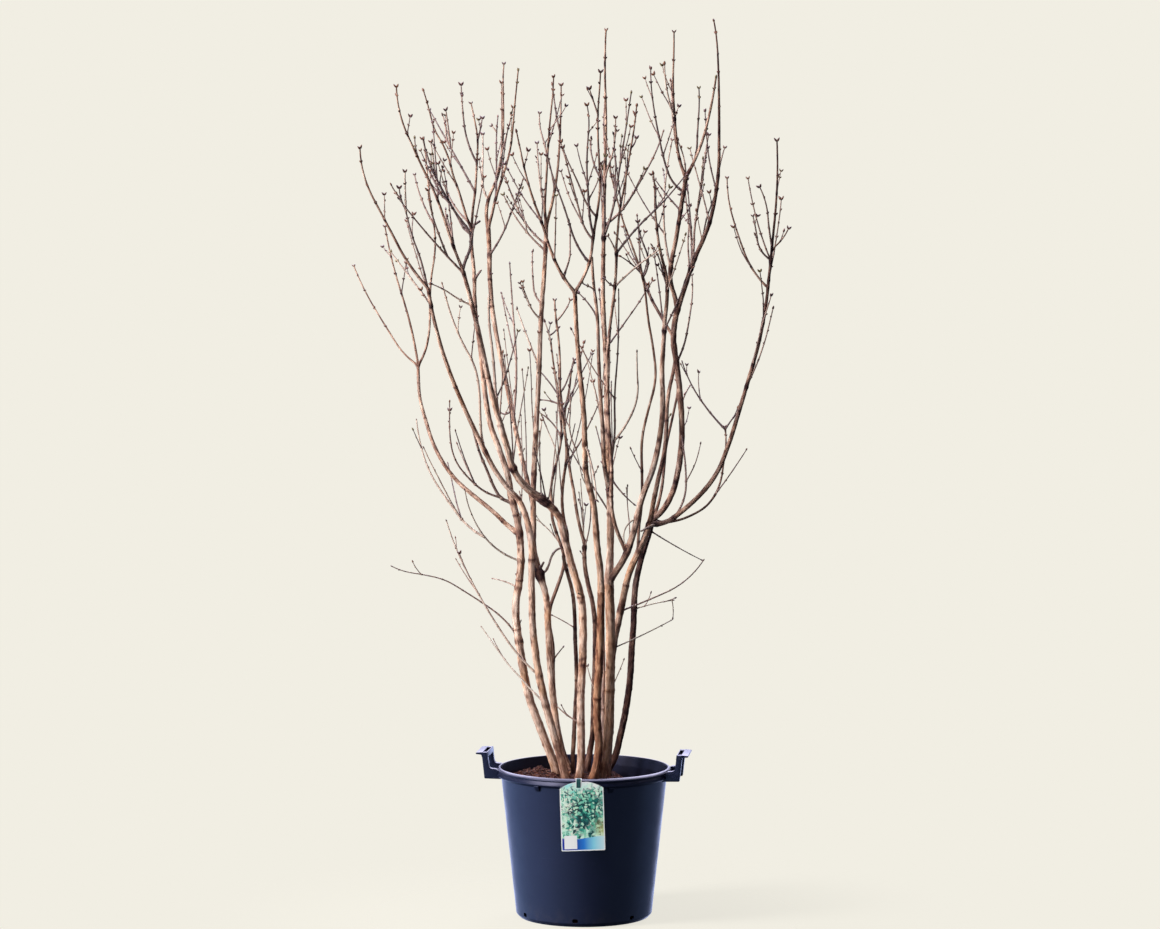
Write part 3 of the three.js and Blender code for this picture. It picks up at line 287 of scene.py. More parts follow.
# knots and old wounds: how far along the limb, over what length, how dark, how swollen
KNOTS = {
    "stem_1": [(327, 9, .40, .08), (271, 11, .38, .05), (111, 5, .30, .05)], "stem_2": [(394, 5, .35, .05), (232, 4, .26, .04), (80, 5, .30, .04)],
    "stem_4": [(158, 5, .30, .06)], "stem_10": [(398, 12, .50, .08), (352, 5, .30, .05)], "stem_11": [(150, 5, .26, .06)],
    "stem_3": [(396, 5, .35, .05), (312, 5, .30, .04), (168, 6, .26, .04), (474, 20, .80, .20), (566, 14, .50, .04)], "bough_left_5": [(62, 12, .60, .13), (100, 26, .22, .04)], "bough_left_7": [(110, 16, .50, .05)],
    "bough_mid_3": [(45, 20, .60, .06)], "stem_6": [(578, 14, .45, .02), (284, 4, .50, .05), (206, 4, .45, .05)], "stem_5": [(168, 5, .35, .08), (85, 5, .30, .06), (316, 5, .30, .06)], "stem_9": [(450, 15, .50, .04), (262, 5, .30, .03)], "stem_8": [(292, 15, .34, .05), (372, 9, .28, .04)], "bough_right_1": [(8, 12, .50, .02)], "bough_left_8": [(748, 9, .50, .05)], "crown_left_9": [(64, 9, .45, .10)],
    "stem_7": [(524, 12, .28, .04)], "bough_mid_5": [(101, 7, .60, .12), (64, 5, .40, .08)], "bough_right_14": [(30, 24, .35, .02)],
}
# how much darker than its girth alone makes it a limb's bark is: partly the bark's own weathered tone, partly painted
# shade on limbs that stand in shade, such as stem_7 behind stem_8 and the limbs on the right; stem_9's negative value
# is painted light that offsets the shadow stem_8 casts on it
BARK_TONE_AND_SHADE = {"stem_10": .02, "stem_11": .74, "stem_5": .45, "stem_7": .58, "stem_4": .20, "stem_8": .30, "stem_9": -.14,
             "bough_right_4": .42, "bough_right_6": .34, "bough_right_5": .30, "bough_right_9": .28,
             "bough_right_3": .18, "bough_right_13": .2, "bough_right_15": .3, "bough_right_10": .34}

# limbs whose outer skin is mostly gone, which leaves them orange-brown
WARM = {"stem_8": .62, "stem_9": .48, "bough_mid_6": .30, "stem_10": .15}


# ------------------------------------------------------------------ growth
def walk(start, length, sway, reach, n=WALK_STEPS):
    sway, reach = np.radians(sway), np.radians(reach)
    t = (np.arange(n) + .5) / n
    a = np.interp(t * (len(sway) - 1), np.arange(len(sway)), sway)
    b = np.interp(t * (len(reach) - 1), np.arange(len(reach)), reach)
    step = np.stack([np.sin(a) * np.cos(b), np.sin(b), np.cos(a) * np.cos(b)], 1) * length / n
    return np.vstack([start, start + np.cumsum(step, 0)])


class Limb:
    def __init__(self, name, path, r0, r1, parent=None, at=0.0, kind="limb"):
        self.name, self.path, self.r0, self.r1, self.parent, self.at, self.kind = name, path, r0, r1, parent, at, kind
        seg = np.linalg.norm(np.diff(path, axis=0), axis=1)
        self.s = np.concatenate([[0], np.cumsum(seg)])
        self.length = float(self.s[-1])
        self.kids = []

    def point(self, s):
        s = np.atleast_1d(np.asarray(s, float))
        p = np.stack([np.interp(s, self.s, self.path[:, k]) for k in range(3)], 1)
        first, last = self.path[1] - self.path[0], self.path[-1] - self.path[-2]
        first, last = first / np.linalg.norm(first), last / np.linalg.norm(last)
        p += np.where(s < 0, s, 0)[:, None] * first + np.where(s > self.length, s - self.length, 0)[:, None] * last
        return p

    def heading(self, s):
        d = self.point(s + 2.0)[0] - self.point(s - 2.0)[0]
        return d / np.linalg.norm(d)

    def radius(self, s):
        r = self.r0 + (self.r1 - self.r0) * np.clip(np.asarray(s, float) / self.length, 0, 1)
        if self.parent is None:
            r = r * (1 + ROOT_FLARE * np.exp(-np.maximum(s, 0) / FLARE_HEIGHT))
        return r


ALL = {}


def plant_row(row, kind):
    name, parent, at, length, r0, r1, sway, reach = row
    if parent:
        host = ALL[parent]
        start = host.point(at * host.length)[0]
        girth = 1.09 if kind == "shoot" and start[2] > 1000 else 1.0
        limb = Limb(name, walk(start, length, sway, reach), r0 * girth, r1 * girth, host, at * host.length, kind)
        host.kids.append(limb)
    else:
        limb = Limb(name, walk(np.array([at[0], at[1], SOIL_LEVEL + .3]), length, sway, reach), r0, r1, None, 0, kind)
    ALL[name] = limb


waiting = [(r, "limb") for r in LIMBS] + [(r, "shoot") for r in SHOOTS]
while waiting:
    later = []
    for r, kind in waiting:
        if r[1] is None or r[1] in ALL:
            plant_row(r, kind)
        else:
            later.append((r, kind))
    waiting = later
ALL["bough_left_8"].r1 = 5.3  # its bark thickens towards the fork

rng = np.random.default_rng(65)


def unit(v):
    return v / np.linalg.norm(v)


def square_to(d):
    side = unit(np.cross(d, [0.31, -0.94, 0.12]))
    return side, np.cross(d, side)


def grown(start, heading, length, uplift, wander, n=22):
    """A path that starts along heading and turns up towards the light as it grows."""
    d, p, out = unit(heading), np.array(start, float), [np.array(start, float)]
    lean = rng.normal(0, 1, 3) * wander
    for i in range(n):
        d = unit(d + np.array([0, 0, 1]) * uplift / n + lean / n + rng.normal(0, .012, 3))
        p = p + d * length / n
        out.append(p)
    return np.array(out)


# buds stand in opposite pairs, each pair turned a quarter from the last
def bud_nodes(limb, first, last, near, far):
    """Distances along a limb, from its tip back, where leaf pairs grew."""
    out, s = [], limb.length - rng.uniform(*near)
    while s > first:
        if s < last:
            out.append(s)
        s -= rng.uniform(*far)
    return out[::-1]


for limb in list(ALL.values()):
    limb.phase = rng.uniform(0, math.pi)
    if limb.kind == "shoot":
        limb.nodes = bud_nodes(limb, 8, limb.length - 4, (18, 34), (32, 54))
    elif limb.r1 < 2.2:
        limb.nodes = bud_nodes(limb, limb.length * .08, limb.length - 4, (20, 36), (36, 58))
    else:
        limb.nodes = bud_nodes(limb, 34, limb.length - 12, (30, 60), (58, 118))

LO, HI = np.array(CAD_BOX[0]) * 1000, np.array(CAD_BOX[1]) * 1000


def side_shoot(host, s, heading, length, r0, uplift, wander=.10):
    if abs(heading[0]) > .95 * heading[2]:  # nothing hangs out level
        heading = heading + [0, 0, .7]
    path = grown(host.point(s)[0], heading, length, uplift, wander)
    end = path[-1]
    if (end < LO - [4, 6, 0]).any() or (end > HI + [4, 6, -12]).any():
        return None
    limb = Limb("sprig_%d" % len(ALL), path, r0, max(.95, r0 * .62), host, s, "sprig")
    limb.phase = rng.uniform(0, math.pi)
    limb.nodes = bud_nodes(limb, 7, limb.length - 4, (14, 26), (26, 44))
    host.kids.append(limb)
    ALL[limb.name] = limb
    return limb


# side shoots grow from leaf pairs, mostly towards the front and the back, where
# the thin shoots above leave the crown open
for host in [l for l in ALL.values() if l.kind == "shoot" or l.r1 < 2.3]:
    for k, s in enumerate(host.nodes):
        place = s / host.length
        if place < (.12 if host.kind == "limb" else .2) or place > .86:
            continue
        t = host.heading(s)
        a, b = square_to(t)
        for turn in (0, math.pi):
            phi = host.phase + k * math.pi / 2 + turn
            out = a * math.cos(phi) + b * math.sin(phi)
            across = abs(out[1]) / (abs(out[0]) + abs(out[1]) + 1e-6)
            here = host.point(s)[0]
            open_sky = .19 if here[0] > -60 and here[2] > 1350 else .15 if here[0] > 220 else .07
            chance = (.34 if across > .55 else open_sky) * (1.15 - .5 * place)
            if rng.random() > chance:
                continue
            angle = math.radians(rng.uniform(28, 44))
            rest = host.length - s
            length = float(np.clip(rest * rng.uniform(.35, .8), 26, 190))
            side_shoot(host, s, t * math.cos(angle) + out * math.sin(angle), length,
                       min(.78 * float(host.radius(s)), 1.15 + length / 190), rng.uniform(.25, .6))

# spurs: stubs of a few millimetres with a bud, on the older wood
for host in [l for l in ALL.values() if l.kind == "limb" and l.r1 >= 2.2 and l.name[:4] in ("boug", "trun", "stem")]:
    for k, s in enumerate(host.nodes):
        if host.parent is None and s < host.length * .35:
            continue
        if rng.random() > (.34 if host.r0 < 6 else .16):
            continue
        t = host.heading(s)
        a, b = square_to(t)
        phi = host.phase + k * math.pi / 2 + (math.pi if rng.random() < .5 else 0)
        out = a * math.cos(phi) + b * math.sin(phi)
        angle = math.radians(rng.uniform(38, 62))
        long = rng.random() < .28
        length = float(host.radius(s)) / math.sin(angle) + (rng.uniform(22, 85) if long else rng.uniform(3, 11))
        spur = side_shoot(host, s, t * math.cos(angle) + out * math.sin(angle), length, rng.uniform(1.15, 1.6), .3, .05)
        if spur and not long:
            spur.nodes = []

# thin shoots from latent buds, which stand among the boughs in the middle of the bush
inner = [l for l in ALL.values() if l.kind == "limb" and l.r1 >= 1.6 and l.name[:4] in ("boug", "trun", "stem")]
made = 0
while made < 24:
    host = inner[int(rng.integers(len(inner)))]
    s = rng.uniform(.12, .92) * host.length
    here = host.point(s)[0]
    if not (-185 < here[0] < 70 and 820 < here[2] < 1120):
        continue
    heading = unit(np.array([rng.normal(0, .17), rng.uniform(-.1, .42), 1.0]))
    made += side_shoot(host, s, heading, rng.uniform(110, 330), rng.uniform(1.4, 2.0), .25, .07) is not None

# ------------------------------------------------------------------ meshes
class Batch:
    """Vertices and faces gathered for one mesh."""

    def __init__(self):
        self.v, self.q, self.t, self.qm, self.tm, self.n = [], [], [], [], [], 0
        self.attr = {}

    def add(self, v, q=None, t=None, mat=0, **attr):
        v = np.asarray(v, float).reshape(-1, 3)
        self.v.append(v)
        if q is not None and len(q):
            self.q.append(np.asarray(q) + self.n)
            self.qm.append(np.full(len(q), mat))
        if t is not None and len(t):
            self.t.append(np.asarray(t) + self.n)
            self.tm.append(np.full(len(t), mat))
        for k, a in attr.items():
            self.attr.setdefault(k, []).append(np.asarray(a, float).ravel())
        self.n += len(v)

    def faces(self):
        return 2 * sum(map(len, self.q)) + sum(map(len, self.t))

    def make(self, name, mats, smooth=True, sharp=None):
        v = np.concatenate(self.v) * .001
        q = np.concatenate(self.q) if self.q else np.zeros((0, 4), int)
        t = np.concatenate(self.t) if self.t else np.zeros((0, 3), int)
        ids = np.concatenate([*self.qm, *self.tm]) if self.qm or self.tm else np.zeros(0)
        me = bpy.data.meshes.new(name)
        me.vertices.add(len(v))
        me.vertices.foreach_set("co", v.astype(np.float32).ravel())
        loops = np.concatenate([q.ravel(), t.ravel()]).astype(np.int32)
        me.loops.add(len(loops))
        me.loops.foreach_set("vertex_index", loops)
        me.polygons.add(len(q) + len(t))
        me.polygons.foreach_set("loop_start", np.concatenate([np.arange(len(q)) * 4, len(q) * 4 + np.arange(len(t)) * 3]).astype(np.int32))
        for m in mats:
            me.materials.append(m)
        me.polygons.foreach_set("material_index", ids.astype(np.int32))
        me.update(calc_edges=True)
        me.validate()
        me.polygons.foreach_set("use_smooth", np.full(len(me.polygons), smooth))
        for k, a in self.attr.items():
            flat = np.concatenate(a).astype(np.float32)
            if len(flat) == 3 * len(v):
                me.attributes.new(k, "FLOAT_VECTOR", "POINT").data.foreach_set("vector", flat)
            else:
                me.attributes.new(k, "FLOAT", "POINT").data.foreach_set("value", flat)
        if sharp is not None:
            me.set_sharp_from_angle(angle=math.radians(sharp))
        ob = bpy.data.objects.new(name, me)
        bpy.context.scene.collection.objects.link(ob)
        return ob


def frames(pts):
    t = np.gradient(pts, axis=0)
    t /= np.linalg.norm(t, axis=1)[:, None] + 1e-12
    n = np.empty_like(t)
    n[0] = square_to(t[0])[0]
    for i in range(1, len(t)):
        k = n[i - 1] - t[i] * (n[i - 1] @ t[i])
        n[i] = k / (np.linalg.norm(k) + 1e-12)
    return t, n, np.cross(t, n)


def tube(pts, rad, sides, dome=True):
    """Closed tube through pts; rad is one radius a ring or one a vertex. Returns vertices, quads, triangles."""
    rad = np.asarray(rad, float)
    if rad.ndim == 1:
        rad = np.repeat(rad[:, None], sides, 1)
    t, n, b = frames(pts)
    if dome:
        r = rad[-1].mean()
        pts = np.vstack([pts, pts[-1] + t[-1] * r * np.array([.42, .78, .96])[:, None]])
        rad = np.vstack([rad, rad[-1] * .90, rad[-1] * .62, rad[-1] * .26])
        t, n, b = [np.vstack([k, k[-1:], k[-1:], k[-1:]]) for k in (t, n, b)]
    phi = np.arange(sides) / sides * 2 * math.pi
    ring = pts[:, None] + rad[..., None] * (np.cos(phi)[None, :, None] * n[:, None] + np.sin(phi)[None, :, None] * b[:, None])
    m = len(pts)
    v = np.vstack([ring.reshape(-1, 3), pts[0], pts[-1] + (t[-1] * rad[-1].mean() * .1 if dome else 0)])
    i, j = np.meshgrid(np.arange(m - 1), np.arange(sides), indexing="ij")
    i, j = i.ravel(), j.ravel()
    k = (j + 1) % sides
    q = np.stack([i * sides + j, i * sides + k, (i + 1) * sides + k, (i + 1) * sides + j], 1)
    j = np.arange(sides)
    k = (j + 1) % sides
    caps = np.concatenate([np.stack([np.full(sides, m * sides), k, j], 1),
                           np.stack([np.full(sides, m * sides + 1), (m - 1) * sides + j, (m - 1) * sides + k], 1)])
    return v, q, caps


def smooth_start(pts, s, join, width):
    """Rounds the bend where a limb leaves its parent's line."""
    out = pts.copy()
    for _ in range(6):
        near = np.exp(-((s - join) / width) ** 2)[:, None] * .5
        mid = out.copy()
        mid[1:-1] = (out[:-2] + out[2:]) / 2
        out = out * (1 - near) + mid * near
    return out


def stations(limb, start, step, marks, reach=3.0):
    s = list(np.arange(start, limb.length, step))
    s.append(limb.length)
    for m in marks:
        s += [m - reach, m - reach * .4, m, m + reach * .4, m + reach]
    s = np.unique(np.round([x for x in s if start <= x <= limb.length], 2))
    keep = [s[0]]
    for x in s[1:]:
        if x - keep[-1] > step * .22:
            keep.append(x)
    keep[-1] = limb.length
    return np.array(keep)


def soft(x, a, b):
    x = np.clip((x - a) / (b - a), 0, 1)
    return x * x * (3 - 2 * x)


def limb_mesh(limb):
    """The limb with its bark's relief: root flare, collar, knots, leaf-scar rings, ribs and pits."""
    r = np.random.default_rng(abs(hash_name(limb.name)) % (2 ** 31))
    old = limb.r0 > 5.8
    sides = 28 if limb.r0 > 7.5 else 22 if limb.r0 > 5 else 14 if limb.r0 > 3.2 else 10
    step = 2.5 if limb.r0 > 7.5 else 2.8 if limb.r0 > 5 else 3.4 if limb.r0 > 3.2 else 4.2
    host = limb.parent
    carries_on = host is not None and limb.at > host.length - 6
    start = -10.0 if host is None else -(host.radius(limb.at) * 1.5 + 6) if carries_on else 0.0
    s = stations(limb, start, step, limb.nodes)
    pts = limb.point(s)
    if host is not None and carries_on:
        back = s < 0
        pts[back] = host.point(limb.at + s[back])
        pts = smooth_start(pts, s, 0, float(host.radius(limb.at)) * 1.5 + 3)
    rad = limb.radius(s)
    dark = np.zeros(len(s))
    if host is not None:
        hr = float(host.radius(limb.at))
        if carries_on:
            # grows out of its parent's end at the parent's own girth
            blend = np.exp(-(np.maximum(s, 0) / (1.7 * hr + 4)) ** 1.4)
            rad = rad + (hr * .99 - rad) * blend
            rad[s < 0] = hr * (.93 + .06 * (1 - s[s < 0] / start))
            dark += .16 * np.exp(-(s / (hr * 1.6 + 4)) ** 2)
        else:
            rad = np.minimum(rad * (1 + .75 * np.exp(-np.maximum(s - hr * .8, 0) / (1.3 * limb.r0 + 1.5))), max(hr * .93, limb.r0))
            dark += .46 * np.exp(-np.maximum(s - hr, 0) / (1.5 * limb.r0 + 2))
    for kid in limb.kids:
        k = kid.at
        if k > limb.length - 6:
            continue
        if kid.kind == "sprig" and kid.length < 30:
            w, h = 3.0, .09
        else:
            w, h = 1.5 * kid.r0 + 3.0, .05 + .17 * min(1, kid.r0 / max(1, float(limb.radius(k))))
        bump = np.exp(-((s - k) / w) ** 2)
        rad = rad * (1 + h * bump)
        dark += (.26 + 1.1 * h) * bump
    if any(kid.kind == "limb" and kid.at > limb.length - 6 for kid in limb.kids):  # ends inside the limbs that carry on
        rad = rad * (1 - .16 * soft(s, limb.length - limb.r1 * 1.6, limb.length))
    phi = np.arange(sides) / sides * 2 * math.pi
    S, F = s[:, None], phi[None, :]
    rr = np.repeat(rad[:, None], sides, 1)
    tone = np.repeat(dark[:, None], sides, 1)
    # slow swellings, long ribs and small pits
    for _ in range(5):
        rr += rad[:, None] * .014 * np.sin(2 * math.pi * S / r.uniform(30, 120) + r.integers(1, 3) * F + r.uniform(0, 6.3))
    ribs = .030 if old else .016
    for _ in range(5):
        m = int(r.integers(3, 6 if sides < 16 else 9))
        rr += rad[:, None] * ribs * .5 * np.sin(m * F + r.uniform(0, 6.3) + 1.4 * np.sin(2 * math.pi * S / r.uniform(60, 170) + r.uniform(0, 6.3)))
    for _ in range(7):
        rr += rad[:, None] * .008 * np.sin(2 * math.pi * S / r.uniform(8, 22) + int(r.integers(1, 6)) * F + r.uniform(0, 6.3))
    # leaf scars: a low swelling with a lip on two sides, worn away on older wood
    for k, m in enumerate(limb.nodes):
        here = float(limb.radius(m))
        worn = soft(np.array(here), 2.5, 6.5)
        w = 1.2 + (.12 + .22 * worn) * here
        ring = np.exp(-((S - m - .25 * here * np.sin(F + r.uniform(0, 6.3))) / w) ** 2)
        lip = np.abs(np.cos(F - limb.phase - k * math.pi / 2)) ** 5
        patchy = .55 + .45 * np.sin(F * int(r.integers(1, 3)) + r.uniform(0, 6.3))
        h = r.uniform(.35, 1.0)
        rr += ring * h * (.16 + .40 * lip * (1 - .45 * worn))
        tone += ring * h * (.34 * (1 - .72 * worn) + .28 * lip * (1 - .3 * worn)) * (1 - worn + worn * patchy)
    if old:
        for _ in range(int(limb.length / 17)):  # pits and scars of lost shoots
            m, f, w = r.uniform(10, limb.length - 8), r.uniform(0, 2 * math.pi), r.uniform(1.3, 4.4)
            d = np.exp(-((S - m) / (w * r.uniform(.9, 2.0))) ** 2 - ((np.angle(np.exp(1j * (F - f)))) * float(limb.radius(m)) / (w * .8)) ** 2)
            up = r.random() < .55
            rr += d * (.6 if up else -.5) * min(1, w / 2.4)
            tone += d * r.uniform(.2, .6)
    if host is None:  # buttresses where the stem meets the soil
        flare = np.exp(-np.maximum(S, 0) / 16)
        for _ in range(3):
            rr += rad[:, None] * .09 * flare * np.sin(int(r.integers(2, 5)) * F + r.uniform(0, 6.3))
        tone += .55 * np.exp(-np.maximum(S, 0) / 12)
    base = 1 - soft(rad, 1.2, 7.4)
    # darkening from the table above, fading towards the top on stem_5 and stem_7: partly weathered bark, partly painted
    # shade, with painted light on stem_9
    fade = 1 - .75 * soft(s, limb.length * .5, limb.length) if limb.name in ("stem_5", "stem_7") else 1.0
    tone += (.14 + .33 * base + BARK_TONE_AND_SHADE.get(limb.name, 0) * .8 * fade + r.uniform(-.05, .05))[:, None]
    tone += .05 * np.sin(S / r.uniform(30, 60) + r.uniform(0, 6))
    rr *= 1.04 if host is not None else 1.04 - .15 * np.exp(-np.maximum(S, 0) / 70)
    for place, wide, deep, swell in KNOTS.get(limb.name, ()):
        near = np.exp(-((S - place - rad[:, None] * .5 * np.sin(F + r.uniform(0, 6.3))) / wide) ** 2)
        rr += rad[:, None] * swell * near * (1 + .4 * np.sin(2 * F + S / 6))
        tone += deep * near * (.8 + .2 * np.sin(3 * F + S / 9))
    v, q, caps = tube(pts, rr, sides)
    tone = np.clip(tone, 0, 1)
    extra = np.repeat(tone[-1:], 3, 0)
    full = np.concatenate([np.vstack([tone, extra]).ravel(), [tone[0].mean(), tone[-1].mean()]])
    # the bark's own coordinates, unrolled straight: across, across, along, metres
    far = r.uniform(0, 40)
    S2 = np.vstack([np.repeat(S, sides, 1), np.repeat([[s[-1] + 1], [s[-1] + 2], [s[-1] + 3]], sides, 1)])
    R2 = np.repeat(np.append(rad, [rad[-1] * .8, rad[-1] * .5, rad[-1] * .2])[:, None], sides, 1)
    F2 = np.repeat(F, len(S2), 0)
    along = np.stack([R2 * np.cos(F2), R2 * np.sin(F2), S2 + far * 1000], 2).reshape(-1, 3)
    along = np.vstack([along, along[0] * [0, 0, 1], along[-1] * [0, 0, 1]]) * .001
    return v, q, caps, full, along


def hash_name(name):
    h = 2166136261
    for c in name.encode():
        h = (h ^ c) * 16777619 % (2 ** 32)
    return h


# ------------------------------------------------------------------ materials
def srgb(r, g, b, a=1.0):
    def lin(c):
        c /= 255
        return c / 12.92 if c <= .04045 else ((c + .055) / 1.055) ** 2.4
    return (lin(r), lin(g), lin(b), a)


class Nodes:
    """Small helper round a material's node tree."""

    def __init__(self, name, rough=.6, spec=.5):
        self.mat = bpy.data.materials.new(name)
        self.mat.use_nodes = True
        self.tree = self.mat.node_tree
        self.bsdf = self.tree.nodes["Principled BSDF"]
        self.bsdf.inputs["Roughness"].default_value = rough
        self.bsdf.inputs["Specular IOR Level"].default_value = spec
        self.coord = self.node("ShaderNodeTexCoord")

    def node(self, kind, **props):
        n = self.tree.nodes.new(kind)
        for k, v in props.items():
            setattr(n, k, v)
        return n

    def put(self, socket, value):
        if isinstance(value, bpy.types.NodeSocket):
            self.tree.links.new(value, socket)
        else:
            socket.default_value = value

    def mapped(self, scale, rot=(0, 0, 0), move=(0, 0, 0), source=None):
        m = self.node("ShaderNodeMapping")
        self.put(m.inputs["Vector"], source or self.coord.outputs["Object"])
        m.inputs["Scale"].default_value = scale
        m.inputs["Rotation"].default_value = rot
        m.inputs["Location"].default_value = move
        return m.outputs["Vector"]

    def noise(self, scale, detail=3.0, rough=.55, vector=None, distort=0.0):
        n = self.node("ShaderNodeTexNoise")
        self.put(n.inputs["Vector"], vector or self.coord.outputs["Object"])
        n.inputs["Scale"].default_value = scale
        n.inputs["Detail"].default_value = detail
        n.inputs["Roughness"].default_value = rough
        n.inputs["Distortion"].default_value = distort
        return n.outputs["Fac"]

    def cells(self, scale, vector=None, feature="F1", output="Distance", random=1.0):
        n = self.node("ShaderNodeTexVoronoi", feature=feature)
        self.put(n.inputs["Vector"], vector or self.coord.outputs["Object"])
        n.inputs["Scale"].default_value = scale
        n.inputs["Randomness"].default_value = random
        return n.outputs[output]

    def ramp(self, fac, stops, interpolation="LINEAR"):
        n = self.node("ShaderNodeValToRGB")
        n.color_ramp.interpolation = interpolation
        e = n.color_ramp.elements
        while len(e) < len(stops):
            e.new(.5)
        for k, (p, c) in zip(e, stops):
            k.position = p
            k.color = c if isinstance(c, tuple) else (c, c, c, 1)
        self.put(n.inputs["Fac"], fac)
        return n.outputs["Color"]

    def math(self, op, a, b=0.0, clamp=False):
        n = self.node("ShaderNodeMath", operation=op, use_clamp=clamp)
        self.put(n.inputs[0], a)
        self.put(n.inputs[1], b)
        return n.outputs[0]

    def mix(self, fac, a, b, blend="MIX"):
        n = self.node("ShaderNodeMix", data_type="RGBA", blend_type=blend, clamp_factor=True)
        self.put(n.inputs[0], fac)
        self.put(n.inputs[6], a)
        self.put(n.inputs[7], b)
        return n.outputs[2]

    def bump(self, height, strength, distance, normal=None):
        n = self.node("ShaderNodeBump")
        n.inputs["Strength"].default_value = strength
        n.inputs["Distance"].default_value = distance
        self.put(n.inputs["Height"], height)
        if normal is not None:
            self.put(n.inputs["Normal"], normal)
        return n.outputs["Normal"]

    def finish(self, colour, rough=None, normal=None):
        self.put(self.bsdf.inputs["Base Color"], colour)
        if rough is not None:
            self.put(self.bsdf.inputs["Roughness"], rough)
        if normal is not None:
            self.put(self.bsdf.inputs["Normal"], normal)
        return self.mat


def bark_material():
    n = Nodes("bark_lilac", .8, .12)
    tone = n.node("ShaderNodeAttribute", attribute_name="tone").outputs["Fac"]
    along = n.node("ShaderNodeAttribute", attribute_name="along").outputs["Vector"]
    warm = n.node("ShaderNodeAttribute", attribute_name="warm").outputs["Fac"]
    fibre = n.noise(560, 5, .62, n.mapped((1, 1, .10), source=along))
    plate = n.noise(135, 4, .6, n.mapped((1, 1, .26), source=along), .5)
    blotch = n.noise(46, 3, .55, n.mapped((1, 1, .55), source=along))
    band = n.noise(9, 3, .6, n.mapped((.5, .5, 1), source=along))
    t = n.math("MULTIPLY", tone, .86)
    for value, weight in ((plate, 1.05), (fibre, .62), (blotch, .95), (band, .55)):
        t = n.math("ADD", t, n.math("MULTIPLY", n.math("SUBTRACT", value, .5), weight))
    t = n.math("ADD", t, .10, clamp=True)
    colour = n.ramp(t, [(0.0, srgb(234, 210, 195)), (.22, srgb(202, 170, 152)), (.46, srgb(147, 114, 100)), (.70, srgb(95, 70, 65)), (1.0, srgb(42, 28, 30))])
    # warm brown where the outer skin has peeled, grey bloom where it hasn't
    peel = n.ramp(n.noise(20, 3, .55, n.mapped((1, 1, .4), move=(3, 1, 2), source=along)), [(.50, 0.0), (.64, .62)])
    colour = n.mix(n.math("MAXIMUM", n.math("MULTIPLY", peel, n.ramp(tone, [(.16, 1.0), (.42, .30)])), warm), colour, n.ramp(t, [(.1, srgb(198, 144, 100)), (.6, srgb(126, 77, 50)), (1.0, srgb(56, 34, 28))]))
    bloom = n.ramp(n.noise(30, 2, .5, n.mapped((1, 1, .5), move=(7, 5, 1), source=along)), [(.50, 0.0), (.68, .40)])
    colour = n.mix(n.math("MULTIPLY", bloom, n.math("SUBTRACT", 1.0, warm)), colour, n.ramp(t, [(.1, srgb(206, 190, 182)), (.6, srgb(132, 114, 108)), (1.0, srgb(64, 52, 54))]))
    # fine lengthwise cracks
    crack = n.ramp(n.cells(230, n.mapped((1, 1, .10), source=along), "DISTANCE_TO_EDGE"), [(.015, 1.0), (.085, 0.0)])
    crack = n.math("MULTIPLY", crack, n.ramp(n.noise(60, 2, .5, n.mapped((1, 1, .4), move=(1, 8, 3), source=along)), [(.42, 0.0), (.58, 1.0)]))
    colour = n.mix(n.math("MULTIPLY", crack, .62), colour, srgb(66, 42, 36))
    # lenticels: small corky dots
    speck = n.ramp(n.cells(250, n.mapped((1, 1, .9), source=along)), [(.10, 1.0), (.17, 0.0)])
    speck = n.math("MULTIPLY", speck, n.ramp(n.noise(60, 1, .5, n.mapped((1, 1, 1), move=(9, 4, 1), source=along)), [(.50, 0.0), (.56, 1.0)]))
    colour = n.mix(n.math("MULTIPLY", speck, .55), colour, srgb(92, 62, 52))
    # splashes of the mix on the feet of the stems
    up = n.node("ShaderNodeSeparateXYZ")
    n.put(up.inputs[0], n.coord.outputs["Object"])
    foot = n.math("MULTIPLY", n.ramp(n.math("SUBTRACT", up.outputs["Z"], SOIL_LEVEL * .001), [(0.0, .85), (.03, .55), (.13, .30), (.24, 0.0)]), n.ramp(n.noise(48, 4, .6), [(.30, .25), (.62, 1.0)]))
    colour = n.mix(foot, colour, n.ramp(t, [(.1, srgb(150, 106, 82)), (.6, srgb(92, 58, 44)), (1.0, srgb(44, 28, 25))]))
    rough = n.ramp(fibre, [(.3, .68), (.7, .9)])
    h = n.math("ADD", n.math("MULTIPLY", fibre, .55), n.math("MULTIPLY", plate, .9))
    h = n.math("ADD", h, n.math("MULTIPLY", speck, .4))
    h = n.math("SUBTRACT", h, n.math("MULTIPLY", crack, .6))
    return n.finish(colour, rough, n.bump(h, .8, .0012))


def twig_material(name, light, body, dark, spec=.35):
    n = Nodes(name, .62, spec)
    long = n.mapped((1, 1, .25))
    a = n.noise(150, 3, .6, long)
    colour = n.ramp(a, [(.28, dark), (.48, body), (.74, light)])
    colour = n.mix(n.ramp(n.cells(520), [(.12, .5), (.2, 0.0)]), colour, dark)
    rough = n.ramp(n.noise(260), [(.3, .5), (.7, .76)])
    return n.finish(colour, rough, n.bump(n.noise(800, 3, .6, long), .5, .0004))


def bud_material(name, tip, body, edge):
    n = Nodes(name, .5, .4)
    colour = n.ramp(n.noise(520, 3, .6), [(.30, edge), (.5, body), (.74, tip)])
    colour = n.mix(n.ramp(n.cells(620, feature="DISTANCE_TO_EDGE"), [(.02, .75), (.09, 0.0)]), colour, edge)
    return n.finish(colour, n.ramp(n.noise(300), [(.3, .42), (.7, .66)]), n.bump(n.noise(1100, 2), .4, .0003))


